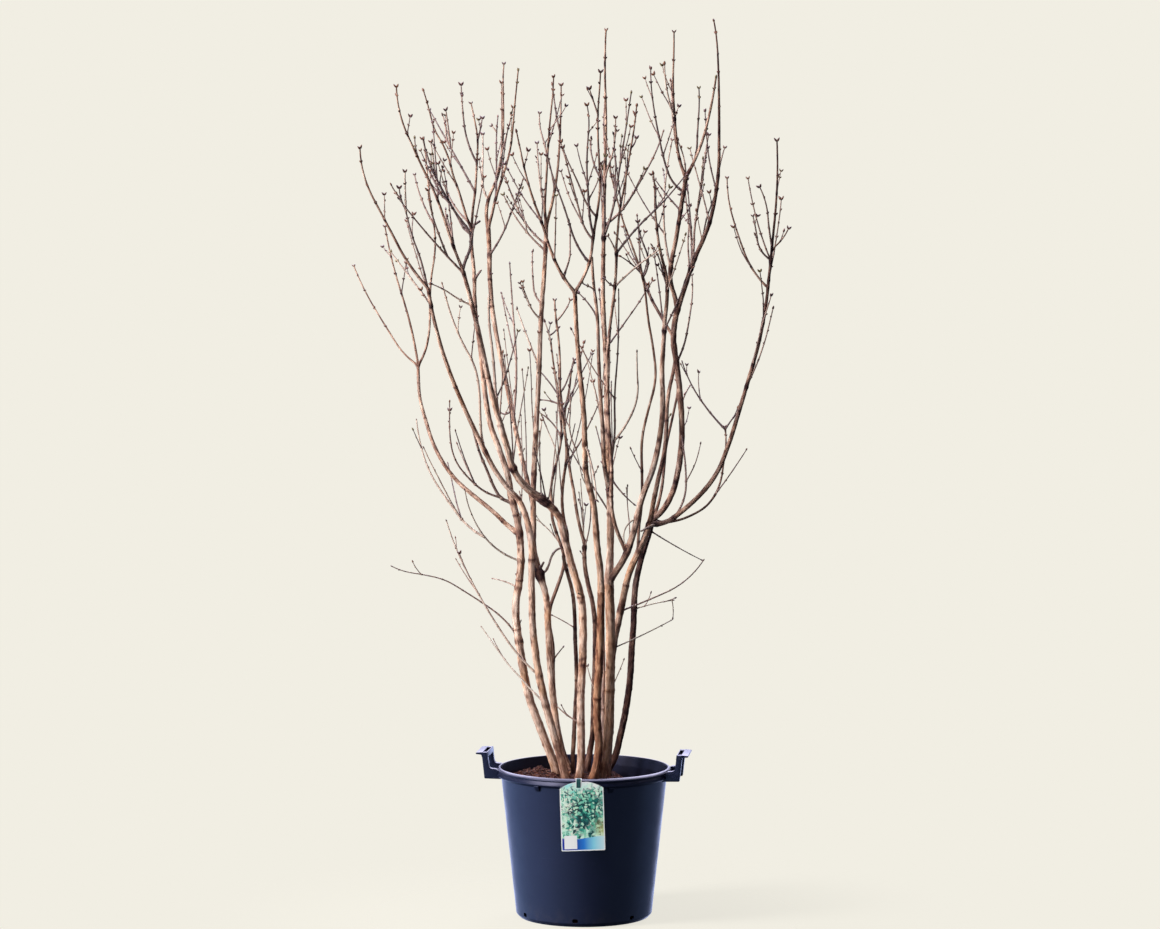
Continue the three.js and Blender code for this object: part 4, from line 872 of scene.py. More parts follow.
def plastic_material():
    n = Nodes("pot_plastic", .34, .5)
    flow = n.noise(5.5, 3, .5, n.mapped((1, 1, .5)))
    colour = n.ramp(flow, [(.32, srgb(16, 18, 33)), (.68, srgb(21, 24, 43))])
    # dust near the foot and in the grain, pale scuffs and hairline scratches
    z = n.node("ShaderNodeSeparateXYZ")
    n.put(z.inputs[0], n.coord.outputs["Object"])
    low = n.ramp(z.outputs["Z"], [(0.0, 1.0), (.05, 0.0)])
    dust = n.noise(38, 4, .65)
    colour = n.mix(n.math("MULTIPLY", low, n.ramp(dust, [(.45, 0.0), (.75, .30)])), colour, srgb(84, 74, 72))
    colour = n.mix(n.ramp(n.noise(95, 5, .7), [(.60, 0.0), (.80, .05)]), colour, srgb(104, 108, 130))
    scratch = n.noise(30, 2, .5, n.mapped((1, 1, 30), rot=(.15, .1, 0)))
    colour = n.mix(n.ramp(scratch, [(.70, 0.0), (.78, .10)]), colour, srgb(112, 118, 146))
    rough = n.ramp(n.noise(22, 4, .6), [(.3, .28), (.7, .40)])
    grain = n.noise(1500, 2, .6)
    h = n.math("ADD", n.math("MULTIPLY", grain, .35), n.math("MULTIPLY", n.noise(16, 2), 1.6))
    return n.finish(colour, rough, n.bump(h, .18, .0006))


def soil_material():
    n = Nodes("potting_mix", .95, .15)
    colour = n.ramp(n.noise(130, 5, .7), [(.30, srgb(27, 17, 17)), (.5, srgb(68, 39, 33)), (.68, srgb(120, 74, 60))])
    colour = n.mix(n.ramp(n.cells(420), [(.05, .6), (.3, 0.0)]), colour, srgb(26, 17, 14))
    h = n.math("ADD", n.noise(240, 5, .7), n.cells(360))
    return n.finish(colour, None, n.bump(h, .9, .003))


def chip_material(name, a, b):
    n = Nodes(name, .9, .18)
    colour = n.ramp(n.noise(300, 4, .65, n.mapped((1, 2.4, 1))), [(.32, a), (.68, b)])
    return n.finish(colour, n.ramp(n.noise(200), [(.3, .8), (.7, .97)]), n.bump(n.noise(600, 4, .65), .8, .0012))


def ratio(n, value, low, high):
    """value scaled so that low is 0 and high is 1, held between them."""
    return n.math("DIVIDE", n.math("SUBTRACT", value, low), high - low, clamp=True)


BARK = bark_material()
TWIGS = [twig_material("twig_dark", srgb(148, 125, 117), srgb(106, 87, 83), srgb(66, 52, 54)),
         twig_material("twig_brown", srgb(190, 163, 149), srgb(145, 120, 111), srgb(91, 73, 71)),
         twig_material("twig_tan", srgb(212, 191, 176), srgb(175, 152, 139), srgb(117, 98, 92)),
         twig_material("twig_grey", srgb(202, 190, 177), srgb(168, 153, 142), srgb(120, 106, 99))]
BUDS = [bud_material("bud_dark", srgb(126, 90, 74), srgb(90, 61, 53), srgb(52, 36, 36)),
        bud_material("bud_brown", srgb(166, 122, 92), srgb(122, 84, 66), srgb(72, 48, 42)),
        bud_material("bud_green", srgb(150, 142, 92), srgb(112, 98, 64), srgb(70, 54, 44))]
PLASTIC = plastic_material()
SOIL = soil_material()
CHIPS = [chip_material("chip_red", srgb(70, 43, 38), srgb(128, 85, 71)), chip_material("chip_brown", srgb(54, 36, 32), srgb(100, 70, 60)),
         chip_material("chip_dark", srgb(30, 21, 21), srgb(56, 39, 35)), chip_material("chip_pale", srgb(120, 83, 67), srgb(176, 134, 108))]

# ------------------------------------------------------------------ stems and boughs
GIRTHS = {}
for limb in [l for l in ALL.values() if l.kind == "limb" and l.name in frame["nodes"]]:
    v, q, t, tone, along = limb_mesh(limb)
    b = Batch()
    b.add(v, q, t, 0, tone=tone, along=along, warm=np.full(len(v), WARM.get(limb.name, 0)))
    ob = b.make("bark_" + limb.name, [BARK])
    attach(ob, "root")
    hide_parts(limb.name)
    GIRTHS[limb.name] = b.faces()

# ------------------------------------------------------------------ twigs and buds
def sector(p):
    return ("left", "mid", "right")[int(np.searchsorted([-150, 60], p[0]))]


twigs, buds = {}, {}


def bud(where, along, length, width, mat, key):
    """A pointed bud with overlapping scales in opposite pairs."""
    sides, z = 8, np.array([0.0, .10, .26, .44, .60, .76, .90, 1.0])
    w = np.array([.50, .86, 1.0, .93, .78, .55, .27, .05])
    side, up = square_to(along)
    phi = np.arange(sides) / sides * 2 * math.pi
    keel = np.abs(np.cos(phi)) ** 3
    keel2 = np.abs(np.sin(phi)) ** 3
    rad = w[:, None] * width / 2 * (1 + .10 * np.where((np.arange(8) % 4 < 2)[:, None], keel, keel2))
    # the scales' edges step in a little on their way up
    rad *= np.where(np.isin(np.arange(8), [2, 4, 6]), .955, 1.03)[:, None]
    axis = where + np.outer(z * length, along)
    ring = axis[:, None] + rad[..., None] * (np.cos(phi)[None, :, None] * side + np.sin(phi)[None, :, None] * up)
    m = len(z)
    v = np.vstack([ring.reshape(-1, 3), axis[0], axis[-1] + along * length * .03])
    i, j = np.meshgrid(np.arange(m - 1), np.arange(sides), indexing="ij")
    i, j = i.ravel(), j.ravel()
    k = (j + 1) % sides
    q = np.stack([i * sides + j, i * sides + k, (i + 1) * sides + k, (i + 1) * sides + j], 1)
    j = np.arange(sides)
    k = (j + 1) % sides
    t = np.concatenate([np.stack([np.full(sides, m * sides), k, j], 1), np.stack([np.full(sides, m * sides + 1), (m - 1) * sides + j, (m - 1) * sides + k], 1)])
    buds.setdefault(key, Batch()).add(v, q, t, mat)


def dress(limb, key, young, thin=1.0):
    """Bud pairs along a limb and at its tip."""
    pick = rng.choice(3, p=[.44, .40, .16])
    for k, s in enumerate(limb.nodes):
        if s < young:
            continue
        here = float(limb.radius(s))
        t = limb.heading(s)
        a, b = square_to(t)
        for turn in (0, math.pi):
            if rng.random() < 1.12 - thin:
                continue
            phi = limb.phase + k * math.pi / 2 + turn + rng.normal(0, .12)
            out = a * math.cos(phi) + b * math.sin(phi)
            lift = math.radians(rng.uniform(24, 44))
            size = rng.uniform(4.0, 6.2) * (.85 + .30 * s / limb.length) * (.6 + .4 * thin)
            bud(limb.point(s)[0] + out * here * .72, unit(t * math.cos(lift) + out * math.sin(lift)), size, size * rng.uniform(.54, .66), int(pick), key)
    t = limb.heading(limb.length)
    a, b = square_to(t)
    tip = limb.point(limb.length)[0]
    if limb.r1 > 2.2:
        return
    if rng.random() < .80 * thin:  # two buds spread like a Y
        phi = rng.uniform(0, math.pi) if rng.random() < .35 else math.atan2(b[0], a[0])
        size = rng.uniform(7.4, 10.4)
        for turn in (0, math.pi):
            out = a * math.cos(phi + turn) + b * math.sin(phi + turn)
            lift = math.radians(rng.uniform(24, 38))
            one = size * rng.uniform(.88, 1.06)
            bud(tip + out * limb.r1 * .55 - t * .8, unit(t * math.cos(lift) + out * math.sin(lift)), one, one * rng.uniform(.46, .58), int(pick), key)
    else:
        size = rng.uniform(7.5, 10.5) * (.55 + .45 * thin)
        bud(tip - t * 1.2, unit(t + rng.normal(0, .05, 3)), size, size * rng.uniform(.52, .62), int(pick), key)


def twig_mesh(limb, mat, key):
    host = limb.parent
    s = stations(limb, 0.0, 6.0, limb.nodes, 2.4)
    pts = limb.point(s)
    rad = limb.radius(s)
    hr = float(host.radius(limb.at)) if host else 0
    # a thicker foot where the shoot leaves its parent
    rad = np.minimum(rad * (1 + .55 * np.exp(-np.maximum(s - hr * .8, 0) / 3.2)), max(hr * .95, limb.r0))
    for m in limb.nodes:
        rad = rad * (1 + .30 * np.exp(-((s - m) / 1.9) ** 2))
    for kid in limb.kids:
        rad = rad * (1 + .22 * np.exp(-((s - kid.at) / 3.0) ** 2))
    v, q, t = tube(pts, rad, 8 if limb.r0 > 1.9 else 7)
    twigs.setdefault(key, Batch()).add(v, q, t, mat)


count = 0
for limb in ALL.values():
    if limb.kind == "limb" and limb.name in frame["nodes"]:
        if limb.r1 < 2.2:
            dress(limb, sector(limb.point(limb.length)[0]), limb.length * (.30 if limb.r0 < 2.9 else .45))
        continue
    key = sector(limb.point(limb.length * .5)[0])
    low = limb.point(0)[0][2] < 1000
    deal = rng.random()
    mat = (3 if deal < .45 else 2 if deal < .75 else 1) if low and limb.kind == "shoot" else (0 if deal < .50 else 1 if deal < .86 else 2)
    if limb.r0 > 4.5:
        mat = 1
    if limb.name[:3] in ("stu", "peg"):  # snapped ends: old dark ones, one bleached
        mat = 0 if limb.name[0] == "s" else 2
    twig_mesh(limb, mat, key)
    dress(limb, key, 0, .30 if low else .62 if limb.point(0)[0][2] < 1250 else 1.0)
    count += 1
for kind, store, mats, slot in (("twigs", twigs, TWIGS, "bark_dark"), ("buds", buds, BUDS, "bark_dark")):
    for key, b in store.items():
        ob = b.make(kind + "_" + key, mats)
        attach(ob, "root")
        print(kind, key, b.faces())
print("shoots", count, "limb faces", sum(GIRTHS.values()))

# ------------------------------------------------------------------ container
def rounded(points, radii, steps=5):
    """An outline with its corners rounded; points are (r, z), the ends stay sharp."""
    out = [np.array(points[0], float)]
    for i in range(1, len(points) - 1):
        p, a, b = (np.array(x, float) for x in (points[i], points[i - 1], points[i + 1]))
        rad = radii[i]
        if not rad:
            out.append(p)
            continue
        u, w = unit(a - p), unit(b - p)
        half = math.acos(np.clip(u @ w, -1, 1)) / 2
        cut = min(rad / math.tan(half), np.linalg.norm(a - p) * .48, np.linalg.norm(b - p) * .48)
        for k in range(steps + 1):
            x = k / steps
            out.append(p + u * cut * (1 - x) ** 2 + w * cut * x ** 2)
    out.append(np.array(points[-1], float))
    return np.array(out)


def wall_at(z):
    x = min(1, max(0, (z - POT_BASE_CHAMFER) / (POT_HEIGHT - RIM_SKIRT - POT_BASE_CHAMFER)))
    return POT_BASE_RADIUS + (POT_SHOULDER_RADIUS - POT_BASE_RADIUS) * x


def lathe(profile, segments):
    """Turned solid: the profile starts and ends on the axis."""
    n = len(profile)
    phi = np.arange(segments) / segments * 2 * math.pi
    mid = profile[1:-1]
    ring = np.stack([mid[:, None, 0] * np.cos(phi), mid[:, None, 0] * np.sin(phi), np.repeat(mid[:, 1:2], segments, 1)], 2)
    v = np.vstack([ring.reshape(-1, 3), [0, 0, profile[0][1]], [0, 0, profile[-1][1]]])
    i, j = np.meshgrid(np.arange(n - 3), np.arange(segments), indexing="ij")
    i, j = i.ravel(), j.ravel()
    k = (j + 1) % segments
    q = np.stack([i * segments + j, i * segments + k, (i + 1) * segments + k, (i + 1) * segments + j], 1)
    j = np.arange(segments)
    k = (j + 1) % segments
    a, z = (n - 2) * segments, (n - 2) * segments + 1
    t = np.concatenate([np.stack([np.full(segments, a), k, j], 1), np.stack([np.full(segments, z), (n - 3) * segments + j, (n - 3) * segments + k], 1)])
    return v, q, t


def turned(v, deg, r=0.0, z=0.0):
    a = math.radians(deg)
    v = v + [r, 0, z]
    return np.stack([v[:, 0] * math.cos(a) - v[:, 1] * math.sin(a), v[:, 0] * math.sin(a) + v[:, 1] * math.cos(a), v[:, 2]], 1)


skirt = POT_HEIGHT - RIM_SKIRT - 6
rows = [(0, 1.2), (118, 1.2), (121, 0), (POT_BASE_RADIUS - POT_BASE_CHAMFER + .5, 0), (POT_BASE_RADIUS, POT_BASE_CHAMFER), (wall_at(60), 60), (wall_at(150), 150), (wall_at(240), 240),
        (wall_at(300), 300), (wall_at(skirt - 3), skirt - 3), (POT_SHOULDER_RADIUS + 1.2, skirt - .2), (RIM_OUTER_RADIUS - 3.0, skirt + .2), (RIM_OUTER_RADIUS, skirt + 3.0), (RIM_OUTER_RADIUS - 1.35, skirt + 7.4),
        (RIM_OUTER_RADIUS - 3.3, POT_HEIGHT - 8.8), (RIM_OUTER_RADIUS - 3.9, POT_HEIGHT - 8.5), (RIM_OUTER_RADIUS - 3.9, POT_HEIGHT - 7.4), (RIM_OUTER_RADIUS - .2, POT_HEIGHT - 6.9),
        (RIM_OUTER_RADIUS - .4, POT_HEIGHT - 5.4), (RIM_OUTER_RADIUS - 1.9, POT_HEIGHT - 3.2), (RIM_OUTER_RADIUS - 4.1, POT_HEIGHT - 1.2), (RIM_OUTER_RADIUS - 6.6, POT_HEIGHT),
        (RIM_INNER_RADIUS - 2.4, POT_HEIGHT - .6), (RIM_INNER_RADIUS - 3.4, POT_HEIGHT - 4),
        (wall_at(skirt - 3) - POT_WALL + .4, skirt - 3), (wall_at(260) - POT_WALL, 260), (wall_at(140) - POT_WALL, 140), (wall_at(9) - POT_WALL, 9), (wall_at(9) - POT_WALL - 4, POT_FLOOR), (0, POT_FLOOR)]
fillets = [0, 0, 1, 3.5, 6, 0, 0, 0, 0, 2, 1.6, 1.6, 2.2, 3, .9, .5, .5, .9, 3, 3, 3, 2, 1.2, 3, 4, 0, 0, 2, 2, 0]
assert len(fillets) == len(rows)
pot = Batch()
pot.add(*lathe(rounded(rows, fillets), 240))
POT = pot.make("pot_shell", [PLASTIC])
cutter = Batch()
wedge = []
for i in range(DRAIN_COUNT):
    turn = DRAIN_FIRST_DEG - 90 + 360 * i / DRAIN_COUNT
    slot = np.array([(math.cos(a) * DRAIN_SIZE[0] / 2, math.sin(a) * DRAIN_SIZE[1] / 2) for a in np.arange(24) / 24 * 2 * math.pi])
    slot = np.sign(slot) * np.abs(slot / [DRAIN_SIZE[0] / 2, DRAIN_SIZE[1] / 2]) ** .6 * [DRAIN_SIZE[0] / 2, DRAIN_SIZE[1] / 2]
    v = np.array([(x, y, z + DRAIN_Z + DRAIN_SIZE[1] / 2) for x in (-14, 14) for y, z in slot])
    k = np.arange(24)
    side = np.stack([k, (k + 1) % 24, (k + 1) % 24 + 24, k + 24], 1)
    lid = np.concatenate([np.stack([np.zeros(22, int), k[2:], k[1:-1]], 1), np.stack([np.zeros(22, int) + 24, k[1:-1] + 24, k[2:] + 24], 1)])
    cutter.add(turned(v, turn, POT_BASE_RADIUS - 2), side, lid)
    mid = turn + 180 / DRAIN_COUNT
    if not any(abs((mid - h + 540) % 360 - 180) < 17 for h in HANDLE_AZIMUTH_DEG):
        wedge.append(mid)
CUT = cutter.make("slots", [PLASTIC], smooth=False)


def boolean(ob, other, how):
    m = ob.modifiers.new("b", "BOOLEAN")
    m.operation, m.object, m.solver = how, other, "EXACT"
    dg = bpy.context.evaluated_depsgraph_get()
    me = bpy.data.meshes.new_from_object(ob.evaluated_get(dg), depsgraph=dg)
    ob.modifiers.clear()
    old, ob.data = ob.data, me
    bpy.data.meshes.remove(old)
    bpy.data.objects.remove(other)


boolean(POT, CUT, "DIFFERENCE")
POT.data.polygons.foreach_set("use_smooth", np.full(len(POT.data.polygons), True))
POT.data.set_sharp_from_angle(angle=math.radians(38))
POT.name = "pot_shell"
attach(POT, "root")
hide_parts("pot")
# small wedges that stiffen the rim
ribs = bmesh.new()
for mid in wedge:
    pts = [(-1.5, 0), (7.6, 0), (7.6, -2.6), (-.9, -14)]
    ring = []
    for y in (-6, 6):
        v = turned(np.array([[x, y, z] for x, z in pts], float), mid, POT_SHOULDER_RADIUS, skirt + .9)
        ring.append([ribs.verts.new(p * .001) for p in v])
    a, b = ring
    ribs.faces.new(a[::-1])
    ribs.faces.new(b)
    for i in range(4):
        k = (i + 1) % 4
        ribs.faces.new([a[i], a[k], b[k], b[i]])
bmesh.ops.recalc_face_normals(ribs, faces=ribs.faces)
bmesh.ops.bevel(ribs, geom=list(ribs.edges), offset=.0009, segments=2, affect="EDGES", profile=.5)
me = bpy.data.meshes.new("rim_wedges")
ribs.to_mesh(me)
me.materials.append(PLASTIC)
me.polygons.foreach_set("use_smooth", np.full(len(me.polygons), True))
me.set_sharp_from_angle(angle=math.radians(40))
WEDGES = bpy.data.objects.new("rim_wedges", me)
bpy.context.scene.collection.objects.link(WEDGES)
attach(WEDGES, "root")

# lifting handles: a leaning strap with a lipped grip, its brackets filleted into the rim
def lean(z):
    return HANDLE_FOOT_RADIUS + (HANDLE_TOP_RADIUS - HANDLE_FOOT_RADIUS) * (z - HANDLE_FOOT_Z) / (HANDLE_TOP_Z - HANDLE_FOOT_Z)


def slab(outline, radii, low, high, bm):
    """A rounded outline in the radius-height plane, extruded from low to high along the rim."""
    ring = rounded([outline[-1], *outline, outline[0]], [0, *radii, 0], 4)[1:-1]
    a = [bm.verts.new((x, low, z)) for x, z in ring]
    b = [bm.verts.new((x, high, z)) for x, z in ring]
    bm.faces.new(a)
    bm.faces.new(b[::-1])
    for i in range(len(ring)):
        k = (i + 1) % len(ring)
        bm.faces.new([a[k], a[i], b[i], b[k]])


GRIP_Z = HANDLE_TOP_Z - 12
top_out = lean(HANDLE_TOP_Z) + HANDLE_DEPTH
GRIP = [(lean(GRIP_Z), GRIP_Z), (lean(GRIP_Z) + HANDLE_DEPTH, GRIP_Z), (top_out, HANDLE_TOP_Z - 6.2), (top_out + 12.6, HANDLE_TOP_Z - 5.0), (top_out + 12.9, HANDLE_TOP_Z - 1.4),
        (top_out - 2.6, HANDLE_TOP_Z - .1), (top_out - 3.4, HANDLE_TOP_Z - 8.6), (lean(HANDLE_TOP_Z) + 2.6, HANDLE_TOP_Z - 8.6), (lean(HANDLE_TOP_Z) + 2.2, HANDLE_TOP_Z - .1), (lean(HANDLE_TOP_Z) + .2, HANDLE_TOP_Z - .1)]
GRIP_R = [1.4, 1.4, 2.6, 1.7, 1.7, .5, 1.2, 1.2, .4, .6]
ARM = [(184.6, HANDLE_FOOT_Z - .6), (lean(HANDLE_FOOT_Z) + HANDLE_DEPTH - .2, HANDLE_FOOT_Z + .2), (top_out - .6, HANDLE_TOP_Z - .8), (lean(HANDLE_TOP_Z) + .5, HANDLE_TOP_Z - .8),
       (lean(POT_HEIGHT) + .1, POT_HEIGHT - 1.2), (RIM_OUTER_RADIUS - 2.4, POT_HEIGHT - 2.3), (191.6, POT_HEIGHT - 6.2), (191.6, skirt + .6), (184.6, skirt + .2)]
ARM_R = [.4, 2.2, .6, .6, 11, 1.0, .4, .4, .4]
for name, azimuth in (("handle_left", HANDLE_AZIMUTH_DEG[0]), ("handle_right", HANDLE_AZIMUTH_DEG[1])):
    bm = bmesh.new()
    half = HANDLE_SPAN / 2
    slab(GRIP, GRIP_R, -half, half, bm)
    for side in (-1, 1):
        a, b = sorted((side * half - side * .15, side * (half - HANDLE_ARM)))
        slab(ARM, ARM_R, a, b, bm)
        # a thin web that stiffens the bracket
        a, b = sorted((side * (half - HANDLE_ARM) + side * .5, side * (half - HANDLE_ARM - 7)))
        slab([(184.8 + 1.5, skirt - 3.2), (206, skirt - 3.2), (206, skirt - .8), (184.8 + 1.5, skirt - .8)], [.3, 1, 1, .3], a, b, bm)
    bmesh.ops.recalc_face_normals(bm, faces=bm.faces)
    edges = [e for e in bm.edges if len(e.link_faces) == 2 and e.calc_face_angle(0) > math.radians(60)]
    bmesh.ops.bevel(bm, geom=edges, offset=.7, segments=3, affect="EDGES", profile=.5, clamp_overlap=True)
    bmesh.ops.triangulate(bm, faces=[f for f in bm.faces if len(f.verts) > 4])
    bmesh.ops.transform(bm, matrix=Matrix.Rotation(math.radians(azimuth), 4, "Z") @ Matrix.Scale(.001, 4), verts=bm.verts)
    me = bpy.data.meshes.new(name)
    bm.to_mesh(me)
    me.materials.append(PLASTIC)
    me.polygons.foreach_set("use_smooth", np.full(len(me.polygons), True))
    me.set_sharp_from_angle(angle=math.radians(32))
    ob = bpy.data.objects.new("moulded_" + name, me)
    bpy.context.scene.collection.objects.link(ob)
    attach(ob, "root")
    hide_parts(name)

# ------------------------------------------------------------------ potting mix
feet = [(l.path[0][0], l.path[0][1], l.r0) for l in ALL.values() if l.parent is None]
waves = [(rng.uniform(9, 60), rng.uniform(0, 2 * math.pi), rng.uniform(0, 6.3)) for _ in range(22)]


def ground(x, y):
    r = np.hypot(x, y)
    z = SOIL_LEVEL - 1.0 - 7.0 * soft(r, SOIL_FLAT_RADIUS, 192) + 10.5 * soft(-x, 30, 120) * soft(192 - r, 6, 42) - 6.0 * soft(x, 30, 80) - 17.0 * soft(x, 62, 128)
    for w, d, p in waves:
        z = z + .032 * w * np.sin((x * math.cos(d) + y * math.sin(d)) * 2 * math.pi / w + p) * .55
    for fx, fy, fr in feet:
        d = np.hypot(x - fx, y - fy)
        z = z + 3.4 * np.exp(-(d / (fr * 2.3)) ** 2)
    return z


edge = wall_at(SOIL_LEVEL) - POT_WALL - .8
rings, around = 62, 150
phi = np.arange(around) / around * 2 * math.pi
rr = edge * (np.arange(1, rings + 1) / rings) ** .9
X, Y = rr[:, None] * np.cos(phi), rr[:, None] * np.sin(phi)
Z = ground(X, Y)
top = np.stack([X, Y, Z], 2)
wall = [(wall_at(44) - POT_WALL - .9, 44.0), (wall_at(36) - POT_WALL - 9.0, 36.0), (wall_at(9) - POT_WALL - 11.0, POT_FLOOR + .3)]
wall = np.stack([np.stack([d * np.cos(phi), d * np.sin(phi), np.full(around, h)], 1) for d, h in wall])
v = np.vstack([top.reshape(-1, 3), wall.reshape(-1, 3), [0, 0, float(ground(np.zeros(1), np.zeros(1))[0])], [0, 0, POT_FLOOR + .3]])
n = rings + 3
i, j = np.meshgrid(np.arange(n - 1), np.arange(around), indexing="ij")
i, j = i.ravel(), j.ravel()
k = (j + 1) % around
q = np.stack([i * around + k, i * around + j, (i + 1) * around + j, (i + 1) * around + k], 1)
j = np.arange(around)
k = (j + 1) % around
t = np.concatenate([np.stack([np.full(around, n * around), j, k], 1), np.stack([np.full(around, n * around + 1), (n - 1) * around + k, (n - 1) * around + j], 1)])
soil = Batch()
soil.add(v, q, t)
SOIL_OB = soil.make("potting_mix", [SOIL])
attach(SOIL_OB, "root")
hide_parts("soil")

# bark chips and fibres on the mix
golden = (1 + 5 ** .5) / 2
ICO = np.array([(-1, golden, 0), (1, golden, 0), (-1, -golden, 0), (1, -golden, 0), (0, -1, golden), (0, 1, golden), (0, -1, -golden), (0, 1, -golden),
                (golden, 0, -1), (golden, 0, 1), (-golden, 0, -1), (-golden, 0, 1)]) / math.hypot(1, golden)
ICO_T = np.array([(0, 11, 5), (0, 5, 1), (0, 1, 7), (0, 7, 10), (0, 10, 11), (1, 5, 9), (5, 11, 4), (11, 10, 2), (10, 7, 6), (7, 1, 8),
                  (3, 9, 4), (3, 4, 2), (3, 2, 6), (3, 6, 8), (3, 8, 9), (4, 9, 5), (2, 4, 11), (6, 2, 10), (8, 6, 7), (9, 8, 1)])
chips = Batch()
while chips.n < 12 * 4200:
    a, r = rng.uniform(0, 2 * math.pi), edge * math.sqrt(rng.random()) * .985
    x, y = r * math.cos(a), r * math.sin(a)
    if any(math.hypot(x - fx, y - fy) < fr * 1.25 + 1.5 for fx, fy, fr in feet):
        continue
    big = rng.random()
    size = np.array([rng.uniform(6, 14), rng.uniform(3.5, 7.5), rng.uniform(1.8, 4.0)]) if big < .20 else \
        np.array([rng.uniform(9, 20), rng.uniform(.7, 1.3), rng.uniform(.7, 1.2)]) if big < .28 else \
        np.array([rng.uniform(2.2, 5.5), rng.uniform(1.6, 3.6), rng.uniform(1.0, 2.3)])
    if r + size[0] / 2 > edge + .5:
        continue
    p = ICO * rng.uniform(.72, 1.18, (12, 1)) * size / 2
    e = np.array(Matrix.Rotation(rng.uniform(0, 6.28), 3, "Z") @ Matrix.Rotation(rng.normal(0, .35), 3, "X") @ Matrix.Rotation(rng.normal(0, .35), 3, "Y"))
    p = p @ e.T + [x, y, float(ground(np.array([x]), np.array([y]))[0]) + size[2] * rng.uniform(0, .55)]
    chips.add(p, None, ICO_T, int(rng.choice(4, p=[.34, .40, .20, .06])))
ob = chips.make("bark_chips", CHIPS, smooth=False)
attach(ob, "root")

# ------------------------------------------------------------------ label
LW, LH, LT = LABEL_SIZE


def top_edge(x):
    flat = LW / 8
    return LH / 2 - LABEL_SHOULDER * (np.maximum(0, np.abs(x) - flat) / (LW / 2 - flat)) ** 1.7


def label_points(nx, nz):
    """A grid over the card, under its arched top edge, with its lower corners eased."""
    u, w = np.meshgrid(np.linspace(-1, 1, nx), np.linspace(0, 1, nz), indexing="ij")
    x = u * LW / 2
    z = -LH / 2 + w * (top_edge(x) + LH / 2)
    ease = 3.0
    cx, cz = np.abs(x) - (LW / 2 - ease), -z - (LH / 2 - ease)
    inside = (cx > 0) & (cz > 0)
    k = np.where(inside, np.maximum(cx, cz) / np.maximum(np.hypot(cx, cz), 1e-9), 1)
    x = np.where(inside, np.sign(x) * (LW / 2 - ease + cx * k), x)
    z = np.where(inside, -(LH / 2 - ease + cz * k), z)
    return x, z


card = Batch()
nx, nz = 41, 61
x, z = label_points(nx, nz)
bow = -1.3 * (1 - (x / (LW / 2)) ** 2) * .5 + .9 * ((z / (LH / 2)) ** 2 - .4) * .35
swing = math.radians(-LABEL_SWING_DEG)


def hang(px, py, pz):
    """Card coordinates (right, away, up) to the row's frame, hanging a little askew."""
    X = px * math.cos(swing) + pz * math.sin(swing)
    Zz = -px * math.sin(swing) + pz * math.cos(swing)
    return np.stack([X + LABEL_CENTRE[0], py + LABEL_CENTRE[1], Zz + LABEL_CENTRE[2]], -1)


THICK = .9
front = hang(x, bow - THICK / 2, z).reshape(-1, 3)
back = hang(x, bow + THICK / 2, z).reshape(-1, 3)
i, j = np.meshgrid(np.arange(nx - 1), np.arange(nz - 1), indexing="ij")
i, j = i.ravel(), j.ravel()
f = np.stack([i * nz + j, (i + 1) * nz + j, (i + 1) * nz + j + 1, i * nz + j + 1], 1)
n = nx * nz
b = f[:, ::-1] + n
loop = [(0, k) for k in range(nz)] + [(k, nz - 1) for k in range(1, nx)] + [(nx - 1, k) for k in range(nz - 2, -1, -1)] + [(k, 0) for k in range(nx - 2, 0, -1)]
ids = np.array([a * nz + c for a, c in loop])
nxt = np.roll(ids, -1)
rim = np.stack([ids, nxt, nxt + n, ids + n], 1)
card.add(np.vstack([front, back]), np.vstack([f, b, rim]), None, 0)
card.qm[-1] = np.concatenate([np.zeros(len(f)), np.ones(len(b) + len(rim))])
# the tongue: a strap through the card's slot, over the rim's lip and down inside
Y0, OUT = LABEL_CENTRE[1], POT_HEIGHT + 1.7
line = np.array([(Y0 - .9, 326.0), (Y0 - .9, 334.0), (Y0 - .7, 341.0), (Y0 + .9, OUT - .9), (Y0 + 2.2, OUT), (-RIM_INNER_RADIUS + 1.2, OUT), (-RIM_INNER_RADIUS + 2.6, OUT - 1.0),
                 (-RIM_INNER_RADIUS + 3.9, OUT - 4.0), (-RIM_INNER_RADIUS + 7.6, 331.5)])
fine = []
for a, c in zip(line[:-1], line[1:]):
    fine += [a + (c - a) * k / 4 for k in range(4)]
fine = np.array([*fine, line[-1]])
for _ in range(3):
    fine[1:-1] = (fine[:-2] + 2 * fine[1:-1] + fine[2:]) / 4
tang = np.gradient(fine, axis=0)
tang /= np.linalg.norm(tang, axis=1)[:, None]
nor = np.stack([-tang[:, 1], tang[:, 0]], 1)
w = TONGUE[0] / 2 * np.ones(len(fine))
w[0], w[1] = TONGUE[0] * .3, TONGUE[0] * .43
strip = []
for dx, dn in ((-1, -.5), (1, -.5), (1, .5), (-1, .5)):
    p = fine + nor * dn * 1.0
    strip.append(np.stack([TONGUE[1] + 0 * p[:, 0] + dx * w, p[:, 0], p[:, 1]], 1))
strip = np.stack(strip, 1)
m = len(fine)
i, j = np.meshgrid(np.arange(m - 1), np.arange(4), indexing="ij")
i, j = i.ravel(), j.ravel()
k = (j + 1) % 4
q = np.stack([i * 4 + j, i * 4 + k, (i + 1) * 4 + k, (i + 1) * 4 + j], 1)
ends = np.array([[3, 2, 1, 0], [(m - 1) * 4, (m - 1) * 4 + 1, (m - 1) * 4 + 2, (m - 1) * 4 + 3]])
card.add(strip.reshape(-1, 3), np.vstack([q, ends]), None, 2)


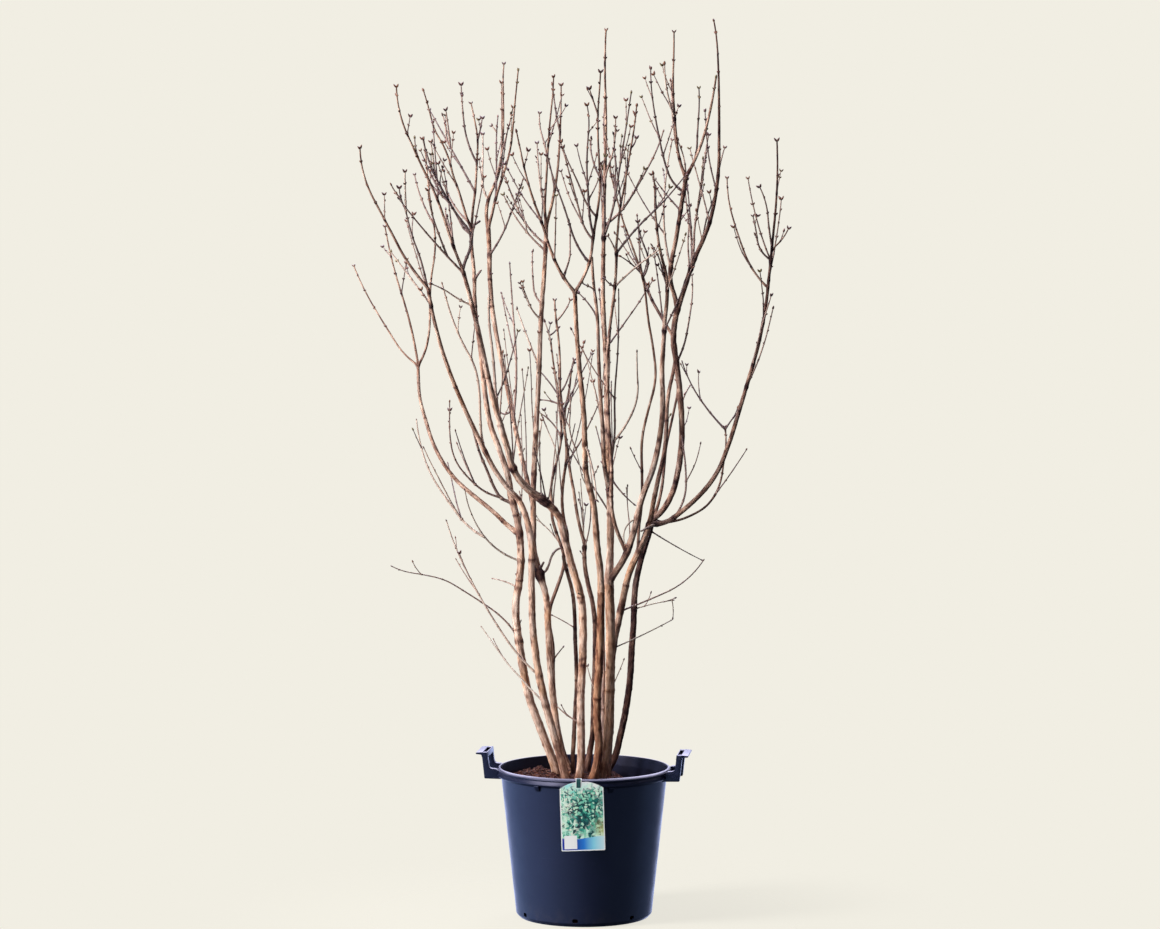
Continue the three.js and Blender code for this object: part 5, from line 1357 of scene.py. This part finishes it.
def print_material():
    """A plain printed card: a drift of heart-shaped leaves and pale florets over a white and blue foot. No lettering."""
    n = Nodes("label_print", .34, .5)
    n.bsdf.inputs["Coat Weight"].default_value = .3
    n.bsdf.inputs["Coat Roughness"].default_value = .12
    # card coordinates: u across and v up, 0 to 1, turned with the hanging card
    flat = n.mapped((1, 1, 1), move=(-LABEL_CENTRE[0] * .001, 0, -LABEL_CENTRE[2] * .001))
    spin = n.node("ShaderNodeVectorRotate", rotation_type="Y_AXIS")
    n.put(spin.inputs["Vector"], flat)
    spin.inputs["Angle"].default_value = -swing
    card = spin.outputs[0]
    sep = n.node("ShaderNodeSeparateXYZ")
    n.put(sep.inputs[0], card)
    u = n.math("ADD", n.math("DIVIDE", sep.outputs["X"], LW * .001), .5)
    v = n.math("ADD", n.math("DIVIDE", sep.outputs["Z"], LH * .001), .5)

    def scatter(pitch, seed):
        """Cells of about pitch mm: where a point lies from its cell's heart (turned at random) and two random numbers."""
        where = n.mapped((1, 0, 1), move=(seed, 0, seed * .7), source=card)
        vor = n.node("ShaderNodeTexVoronoi", feature="F1")
        n.put(vor.inputs["Vector"], where)
        vor.inputs["Scale"].default_value = 1000 / pitch
        vor.inputs["Randomness"].default_value = .8
        off = n.node("ShaderNodeVectorMath", operation="SUBTRACT")
        n.put(off.inputs[0], where)
        n.put(off.inputs[1], vor.outputs["Position"])
        pick = n.node("ShaderNodeSeparateColor")
        n.put(pick.inputs[0], vor.outputs["Color"])
        turn = n.node("ShaderNodeVectorRotate", rotation_type="Y_AXIS")
        n.put(turn.inputs["Vector"], off.outputs[0])
        n.put(turn.inputs["Angle"], n.math("MULTIPLY", pick.outputs[2], 6.283))
        part = n.node("ShaderNodeSeparateXYZ")
        n.put(part.inputs[0], turn.outputs[0])
        grow = 1000 / pitch
        return n.math("MULTIPLY", part.outputs["X"], grow), n.math("MULTIPLY", part.outputs["Z"], grow), pick.outputs[0], pick.outputs[1]

    # ground: pale mint and cream
    colour = n.ramp(n.noise(34, 2), [(.35, srgb(140, 224, 206)), (.5, srgb(208, 246, 226)), (.66, srgb(248, 252, 238))])
    # how far a place is from the heart of the drift of leaves, right of the middle
    ox, oy = n.math("DIVIDE", n.math("SUBTRACT", u, .60), .50), n.math("DIVIDE", n.math("SUBTRACT", v, .57), .37)
    deep = n.math("POWER", n.math("ADD", n.math("MULTIPLY", ox, ox), n.math("MULTIPLY", oy, oy)), .5)
    deep = n.math("ADD", deep, n.math("MULTIPLY", n.math("SUBTRACT", n.noise(52, 3, .6), .5), 1.5))
    shadow = n.ramp(deep, [(.40, 1.0), (.76, .60), (1.05, 0.0)])
    colour = n.mix(shadow, colour, srgb(4, 44, 42))
    for pitch, seed, keep, pull, stops in (
            (12.0, 1.0, .05, .60, [(0.0, srgb(0, 46, 50)), (.5, srgb(2, 74, 72)), (1.0, srgb(18, 114, 102))]),
            (11.0, 4.0, .34, .50, [(0.0, srgb(0, 74, 72)), (.5, srgb(22, 128, 110)), (1.0, srgb(78, 186, 156))]),
            (10.0, 8.0, .48, .08, [(0.0, srgb(40, 150, 128)), (.5, srgb(112, 210, 180)), (1.0, srgb(206, 246, 216))]),
            (8.5, 15.0, .56, -.16, [(0.0, srgb(108, 206, 178)), (.5, srgb(190, 240, 212)), (1.0, srgb(242, 250, 232))])):
        x, y, a, b = scatter(pitch, seed)
        t = n.math("ADD", x, .52)
        side = n.math("ABSOLUTE", y)
        half = n.math("MULTIPLY", n.math("POWER", n.math("MAXIMUM", t, 0.0), .34), n.math("POWER", n.math("MAXIMUM", n.math("SUBTRACT", 1.06, t), 0.0), .86))
        leaf = n.ramp(n.math("SUBTRACT", n.math("MULTIPLY", half, .56), side), [(0.0, 0.0), (.03, 1.0)])
        here = n.math("GREATER_THAN", n.math("ADD", a, n.math("MULTIPLY", shadow, pull)), keep + max(0.0, pull) * .75)
        ribs = n.math("SINE", n.math("MULTIPLY", n.math("SUBTRACT", t, n.math("MULTIPLY", side, .9)), 42.0))
        vein = n.math("ADD", n.math("MULTIPLY", ribs, .05), n.ramp(side, [(.0, 1.12), (.035, .92), (.40, .74)]))
        tint = n.mix(1.0, n.ramp(b, stops), vein, "MULTIPLY")
        colour = n.mix(n.math("MULTIPLY", leaf, here), colour, tint)
    # small four-petalled florets in the upper left
    x, y, a, b = scatter(4.6, 12.0)
    r2 = n.math("ADD", n.math("MULTIPLY", x, x), n.math("MULTIPLY", y, y))
    angle = n.math("ARCTAN2", y, x)
    reach = n.math("ADD", n.math("MULTIPLY", n.math("ABSOLUTE", n.math("COSINE", n.math("MULTIPLY", angle, 2.0))), .22), .16)
    petal = n.ramp(n.math("SUBTRACT", reach, n.math("POWER", r2, .5)), [(0.0, 0.0), (.05, 1.0)])
    cluster = n.math("ADD", n.math("MULTIPLY", n.math("SUBTRACT", v, n.math("MULTIPLY", u, 1.3)), .9), n.math("MULTIPLY", n.noise(60, 2), 1.1))
    bloom = n.math("MULTIPLY", petal, n.math("GREATER_THAN", n.math("ADD", n.math("MULTIPLY", a, .25), cluster), 1.02))
    colour = n.mix(bloom, colour, n.mix(n.ramp(r2, [(.004, 1.0), (.012, 0.0)]), n.ramp(b, [(0.0, srgb(214, 240, 236)), (1.0, srgb(250, 250, 232))]), srgb(196, 196, 96)))
    # sunlit corner low on the right, a cool sky along the top
    glow = n.math("MULTIPLY", n.ramp(u, [(.72, 0.0), (.98, 1.0)]), n.ramp(v, [(.18, 0.0), (.28, .8), (.50, 0.0)]))
    colour = n.mix(glow, colour, srgb(206, 204, 120))
    sky = n.math("MULTIPLY", n.ramp(v, [(.86, 0.0), (.93, .9)]), n.ramp(n.noise(60, 2), [(.42, .35), (.56, 1.0)]))
    colour = n.mix(sky, colour, n.ramp(u, [(.1, srgb(146, 232, 232)), (.7, srgb(246, 250, 248))]))
    # foot: a blue field that pales to the right, with a white panel on its left
    slant = n.math("ADD", v, n.math("MULTIPLY", n.math("SINE", n.math("MULTIPLY", u, 5.0)), .018))
    foot = n.ramp(slant, [(.185, 1.0), (.195, 0.0)])
    colour = n.mix(foot, colour, n.ramp(u, [(.30, srgb(20, 48, 158)), (.52, srgb(36, 124, 216)), (.74, srgb(140, 218, 240)), (1.0, srgb(214, 242, 248))]))
    panel = n.math("MULTIPLY", n.math("LESS_THAN", u, .36), n.math("MULTIPLY", n.math("GREATER_THAN", u, .07), n.math("MULTIPLY", n.math("LESS_THAN", v, .225), n.math("GREATER_THAN", v, .03))))
    colour = n.mix(panel, colour, srgb(248, 250, 250))
    # white border
    inner = n.math("MULTIPLY", n.math("MULTIPLY", n.math("GREATER_THAN", u, .022), n.math("LESS_THAN", u, .978)), n.math("MULTIPLY", n.math("GREATER_THAN", v, .014), n.math("LESS_THAN", v, .986)))
    colour = n.mix(inner, srgb(246, 250, 249), colour)
    colour = n.mix(n.ramp(n.noise(900, 2), [(.4, 0.0), (.8, .025)]), colour, srgb(250, 250, 248))
    return n.finish(colour, n.ramp(n.noise(60, 3), [(.3, .28), (.7, .42)]), n.bump(n.noise(24, 2), .1, .0015))


def card_material():
    n = Nodes("label_card", .5, .45)
    colour = n.ramp(n.noise(70, 4, .6), [(.3, srgb(222, 226, 226)), (.7, srgb(244, 245, 243))])
    return n.finish(colour, n.ramp(n.noise(120, 3), [(.3, .42), (.7, .58)]), n.bump(n.noise(500, 3), .15, .0003))


def tongue_material():
    n = Nodes("label_tongue", .4, .5)
    sep = n.node("ShaderNodeSeparateXYZ")
    n.put(sep.inputs[0], n.coord.outputs["Object"])
    off = n.math("ABSOLUTE", n.math("SUBTRACT", sep.outputs["X"], TONGUE[1] * .001))
    colour = n.ramp(n.noise(160, 3), [(.3, srgb(24, 58, 58)), (.7, srgb(44, 86, 80))])
    colour = n.mix(n.math("GREATER_THAN", off, TONGUE[0] * .0005 - .0017), colour, srgb(226, 230, 230))
    return n.finish(colour, n.ramp(n.noise(120, 3), [(.3, .34), (.7, .5)]), n.bump(n.noise(500, 3), .15, .0003))


LABEL = card.make("picture_label", [print_material(), card_material(), tongue_material()], smooth=True, sharp=40)
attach(LABEL, "root")
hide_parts("label")


# ------------------------------------------------------------------ stage, light, camera
scene = bpy.context.scene
CREAM = srgb(241, 238, 227)


def floor():
    n = Nodes("floor", 1.0, 0.0)
    tree = n.tree
    out = tree.nodes["Material Output"]
    d = n.node("ShaderNodeBsdfDiffuse")
    d.inputs["Color"].default_value = CREAM
    glow = n.node("ShaderNodeEmission")
    glow.inputs["Color"].default_value = CREAM
    glow.inputs["Strength"].default_value = FLOOR_GLOW
    half = n.node("ShaderNodeMixShader")
    half.inputs[0].default_value = FLOOR_MIX
    clear = n.node("ShaderNodeBsdfTransparent")
    fade = n.node("ShaderNodeMixShader")
    g = n.node("ShaderNodeVectorMath", operation="LENGTH")
    n.put(g.inputs[0], n.coord.outputs["Object"])
    n.put(fade.inputs[0], n.ramp(g.outputs["Value"], [(.28, 0.0), (.92, 1.0)], "EASE"))
    n.put(half.inputs[1], d.outputs[0])
    n.put(half.inputs[2], glow.outputs[0])
    n.put(fade.inputs[1], half.outputs[0])
    n.put(fade.inputs[2], clear.outputs[0])
    n.put(out.inputs["Surface"], fade.outputs[0])
    me = bpy.data.meshes.new("floor")
    b = bmesh.new()
    bmesh.ops.create_circle(b, cap_ends=True, segments=96, radius=1.0)
    b.to_mesh(me)
    me.materials.append(n.mat)
    ob = bpy.data.objects.new("floor", me)
    ob.location.z = -.0006
    ob.visible_diffuse = False
    ob.visible_glossy = False
    scene.collection.objects.link(ob)


FLOOR_GLOW, FLOOR_MIX = 1.0, .86
floor()


def lamp(name, where, aim, size, power, colour):
    data = bpy.data.lights.new(name, "AREA")
    data.shape = "RECTANGLE"
    data.size, data.size_y = size
    data.energy = power
    data.color = colour
    ob = bpy.data.objects.new(name, data)
    ob.location = where
    ob.rotation_mode = "QUATERNION"
    ob.rotation_quaternion = (Vector(where) - Vector(aim)).to_track_quat("Z", "Y")
    ob.visible_glossy = False
    scene.collection.objects.link(ob)


lamp("key", (-4.45, -1.95, 2.4), (0, 0, 1.0), (1.4, 2.8), 535, (1.0, .97, .94))
lamp("fill", (-.8, -5.0, 2.2), (0, 0, 1.0), (2.0, 2.4), 36, (.98, .98, 1.0))
lamp("above", (-.8, .2, 4.2), (0, 0, .4), (2.4, 2.0), 34, (.95, .97, 1.0))
lamp("back", (2.0, 4.8, 2.6), (0, 0, 1.0), (2.4, 2.4), 110, (.97, .98, 1.0))

world = bpy.data.worlds.new("studio")
scene.world = world
world.use_nodes = True
wn = world.node_tree
N = wn.nodes.new


def link(a, b):
    wn.links.new(a, b)


def shade(colour, strength):
    n = N("ShaderNodeBackground")
    n.inputs["Color"].default_value = colour
    n.inputs["Strength"].default_value = strength
    return n


# seen directly it is a plain cream wall; what gloss mirrors is a broad cool
# window on the left and behind, with a narrower one on the right
where = N("ShaderNodeTexCoord")
axes = N("ShaderNodeSeparateXYZ")
link(where.outputs["Generated"], axes.inputs[0])


def plus(*terms, start=0.0):
    total = None
    for socket, weight in terms:
        n = N("ShaderNodeMath")
        n.operation = "MULTIPLY_ADD"
        link(socket, n.inputs[0])
        n.inputs[1].default_value = weight
        if total is None:
            n.inputs[2].default_value = start
        else:
            link(total, n.inputs[2])
        total = n.outputs[0]
    return total


def band(value, stops):
    n = N("ShaderNodeValToRGB")
    e = n.color_ramp.elements
    while len(e) < len(stops):
        e.new(.5)
    for k, (p, c) in zip(e, stops):
        k.position = p
        k.color = (c, c, c, 1)
    link(value, n.inputs["Fac"])
    return n.outputs["Color"]


left = band(plus((axes.outputs["X"], -.5)), [(0.0, .20), (.07, .41), (.255, .57), (.41, .82), (.50, .92)])
right = band(plus((axes.outputs["X"], .93), (axes.outputs["Y"], .36)), [(.40, .03), (.72, .09), (1.0, .36)])
behind = N("ShaderNodeMath")
behind.operation = "MULTIPLY"
link(band(plus((axes.outputs["Y"], 1.0)), [(.60, 0.0), (.80, .14), (.97, 1.0)]), behind.inputs[0])
behind.inputs[1].default_value = 1.15


def larger(a, b):
    n = N("ShaderNodeMath")
    n.operation = "MAXIMUM"
    link(a, n.inputs[0])
    link(b, n.inputs[1])
    return n.outputs[0]


scale = N("ShaderNodeMath")
scale.operation = "MULTIPLY"
link(larger(larger(left, right), behind.outputs[0]), scale.inputs[0])
scale.inputs[1].default_value = 1.8
mirrored = shade(srgb(160, 190, 255), 1.0)
# the windows stand near the horizon: surfaces that look up or down don't mirror them
level = N("ShaderNodeMath")
level.operation = "MULTIPLY"
link(band(plus((axes.outputs["Z"], .5), start=.5), [(.18, .25), (.275, 1.0), (.44, 1.0), (.51, .22)]), level.inputs[0])
link(scale.outputs[0], level.inputs[1])
link(level.outputs[0], mirrored.inputs["Strength"])
# and a long white window overhead, which lights up rims and other upturned edges
over = N("ShaderNodeMath")
over.operation = "MULTIPLY"
link(band(plus((axes.outputs["Y"], .45), (axes.outputs["Z"], .89)), [(.45, 0.0), (.60, .14), (.72, .36), (.84, 1.0)]), over.inputs[0])
over.inputs[1].default_value = 10.5
# a softbox at the front left, seen in the roll of the rim
softbox = N("ShaderNodeMath")
softbox.operation = "MULTIPLY"
link(band(plus((axes.outputs["X"], -.69), (axes.outputs["Y"], -.51), (axes.outputs["Z"], .51)), [(.91, 0.0), (.98, 1.0)]), softbox.inputs[0])
softbox.inputs[1].default_value = 11.0
above = shade(srgb(226, 222, 255), 1.0)
link(larger(larger(over.outputs[0], softbox.outputs[0]), behind.outputs[0]), above.inputs["Strength"])
gloss = N("ShaderNodeAddShader")
link(mirrored.outputs[0], gloss.inputs[0])
link(above.outputs[0], gloss.inputs[1])
path = N("ShaderNodeLightPath")
first, second = N("ShaderNodeMixShader"), N("ShaderNodeMixShader")
link(path.outputs["Is Glossy Ray"], first.inputs[0])
link(shade(srgb(226, 228, 244), .05).outputs[0], first.inputs[1])
link(gloss.outputs[0], first.inputs[2])
link(path.outputs["Is Camera Ray"], second.inputs[0])
link(first.outputs[0], second.inputs[1])
link(shade(CREAM, 1.0).outputs[0], second.inputs[2])
link(second.outputs[0], wn.nodes["World Output"].inputs["Surface"])

cam = bpy.data.cameras.new("camera")
cam.sensor_width = 36.0
cam.lens = 108.97
cam.clip_start, cam.clip_end = .1, 100
eye = bpy.data.objects.new("camera", cam)
eye.location = (-.0093, -8.0, 1.5461)
eye.rotation_euler = (math.pi / 2 - .0634, 0, 0)
scene.collection.objects.link(eye)
scene.camera = eye
scene.view_settings.view_transform = "Standard"
scene.view_settings.look = "None"
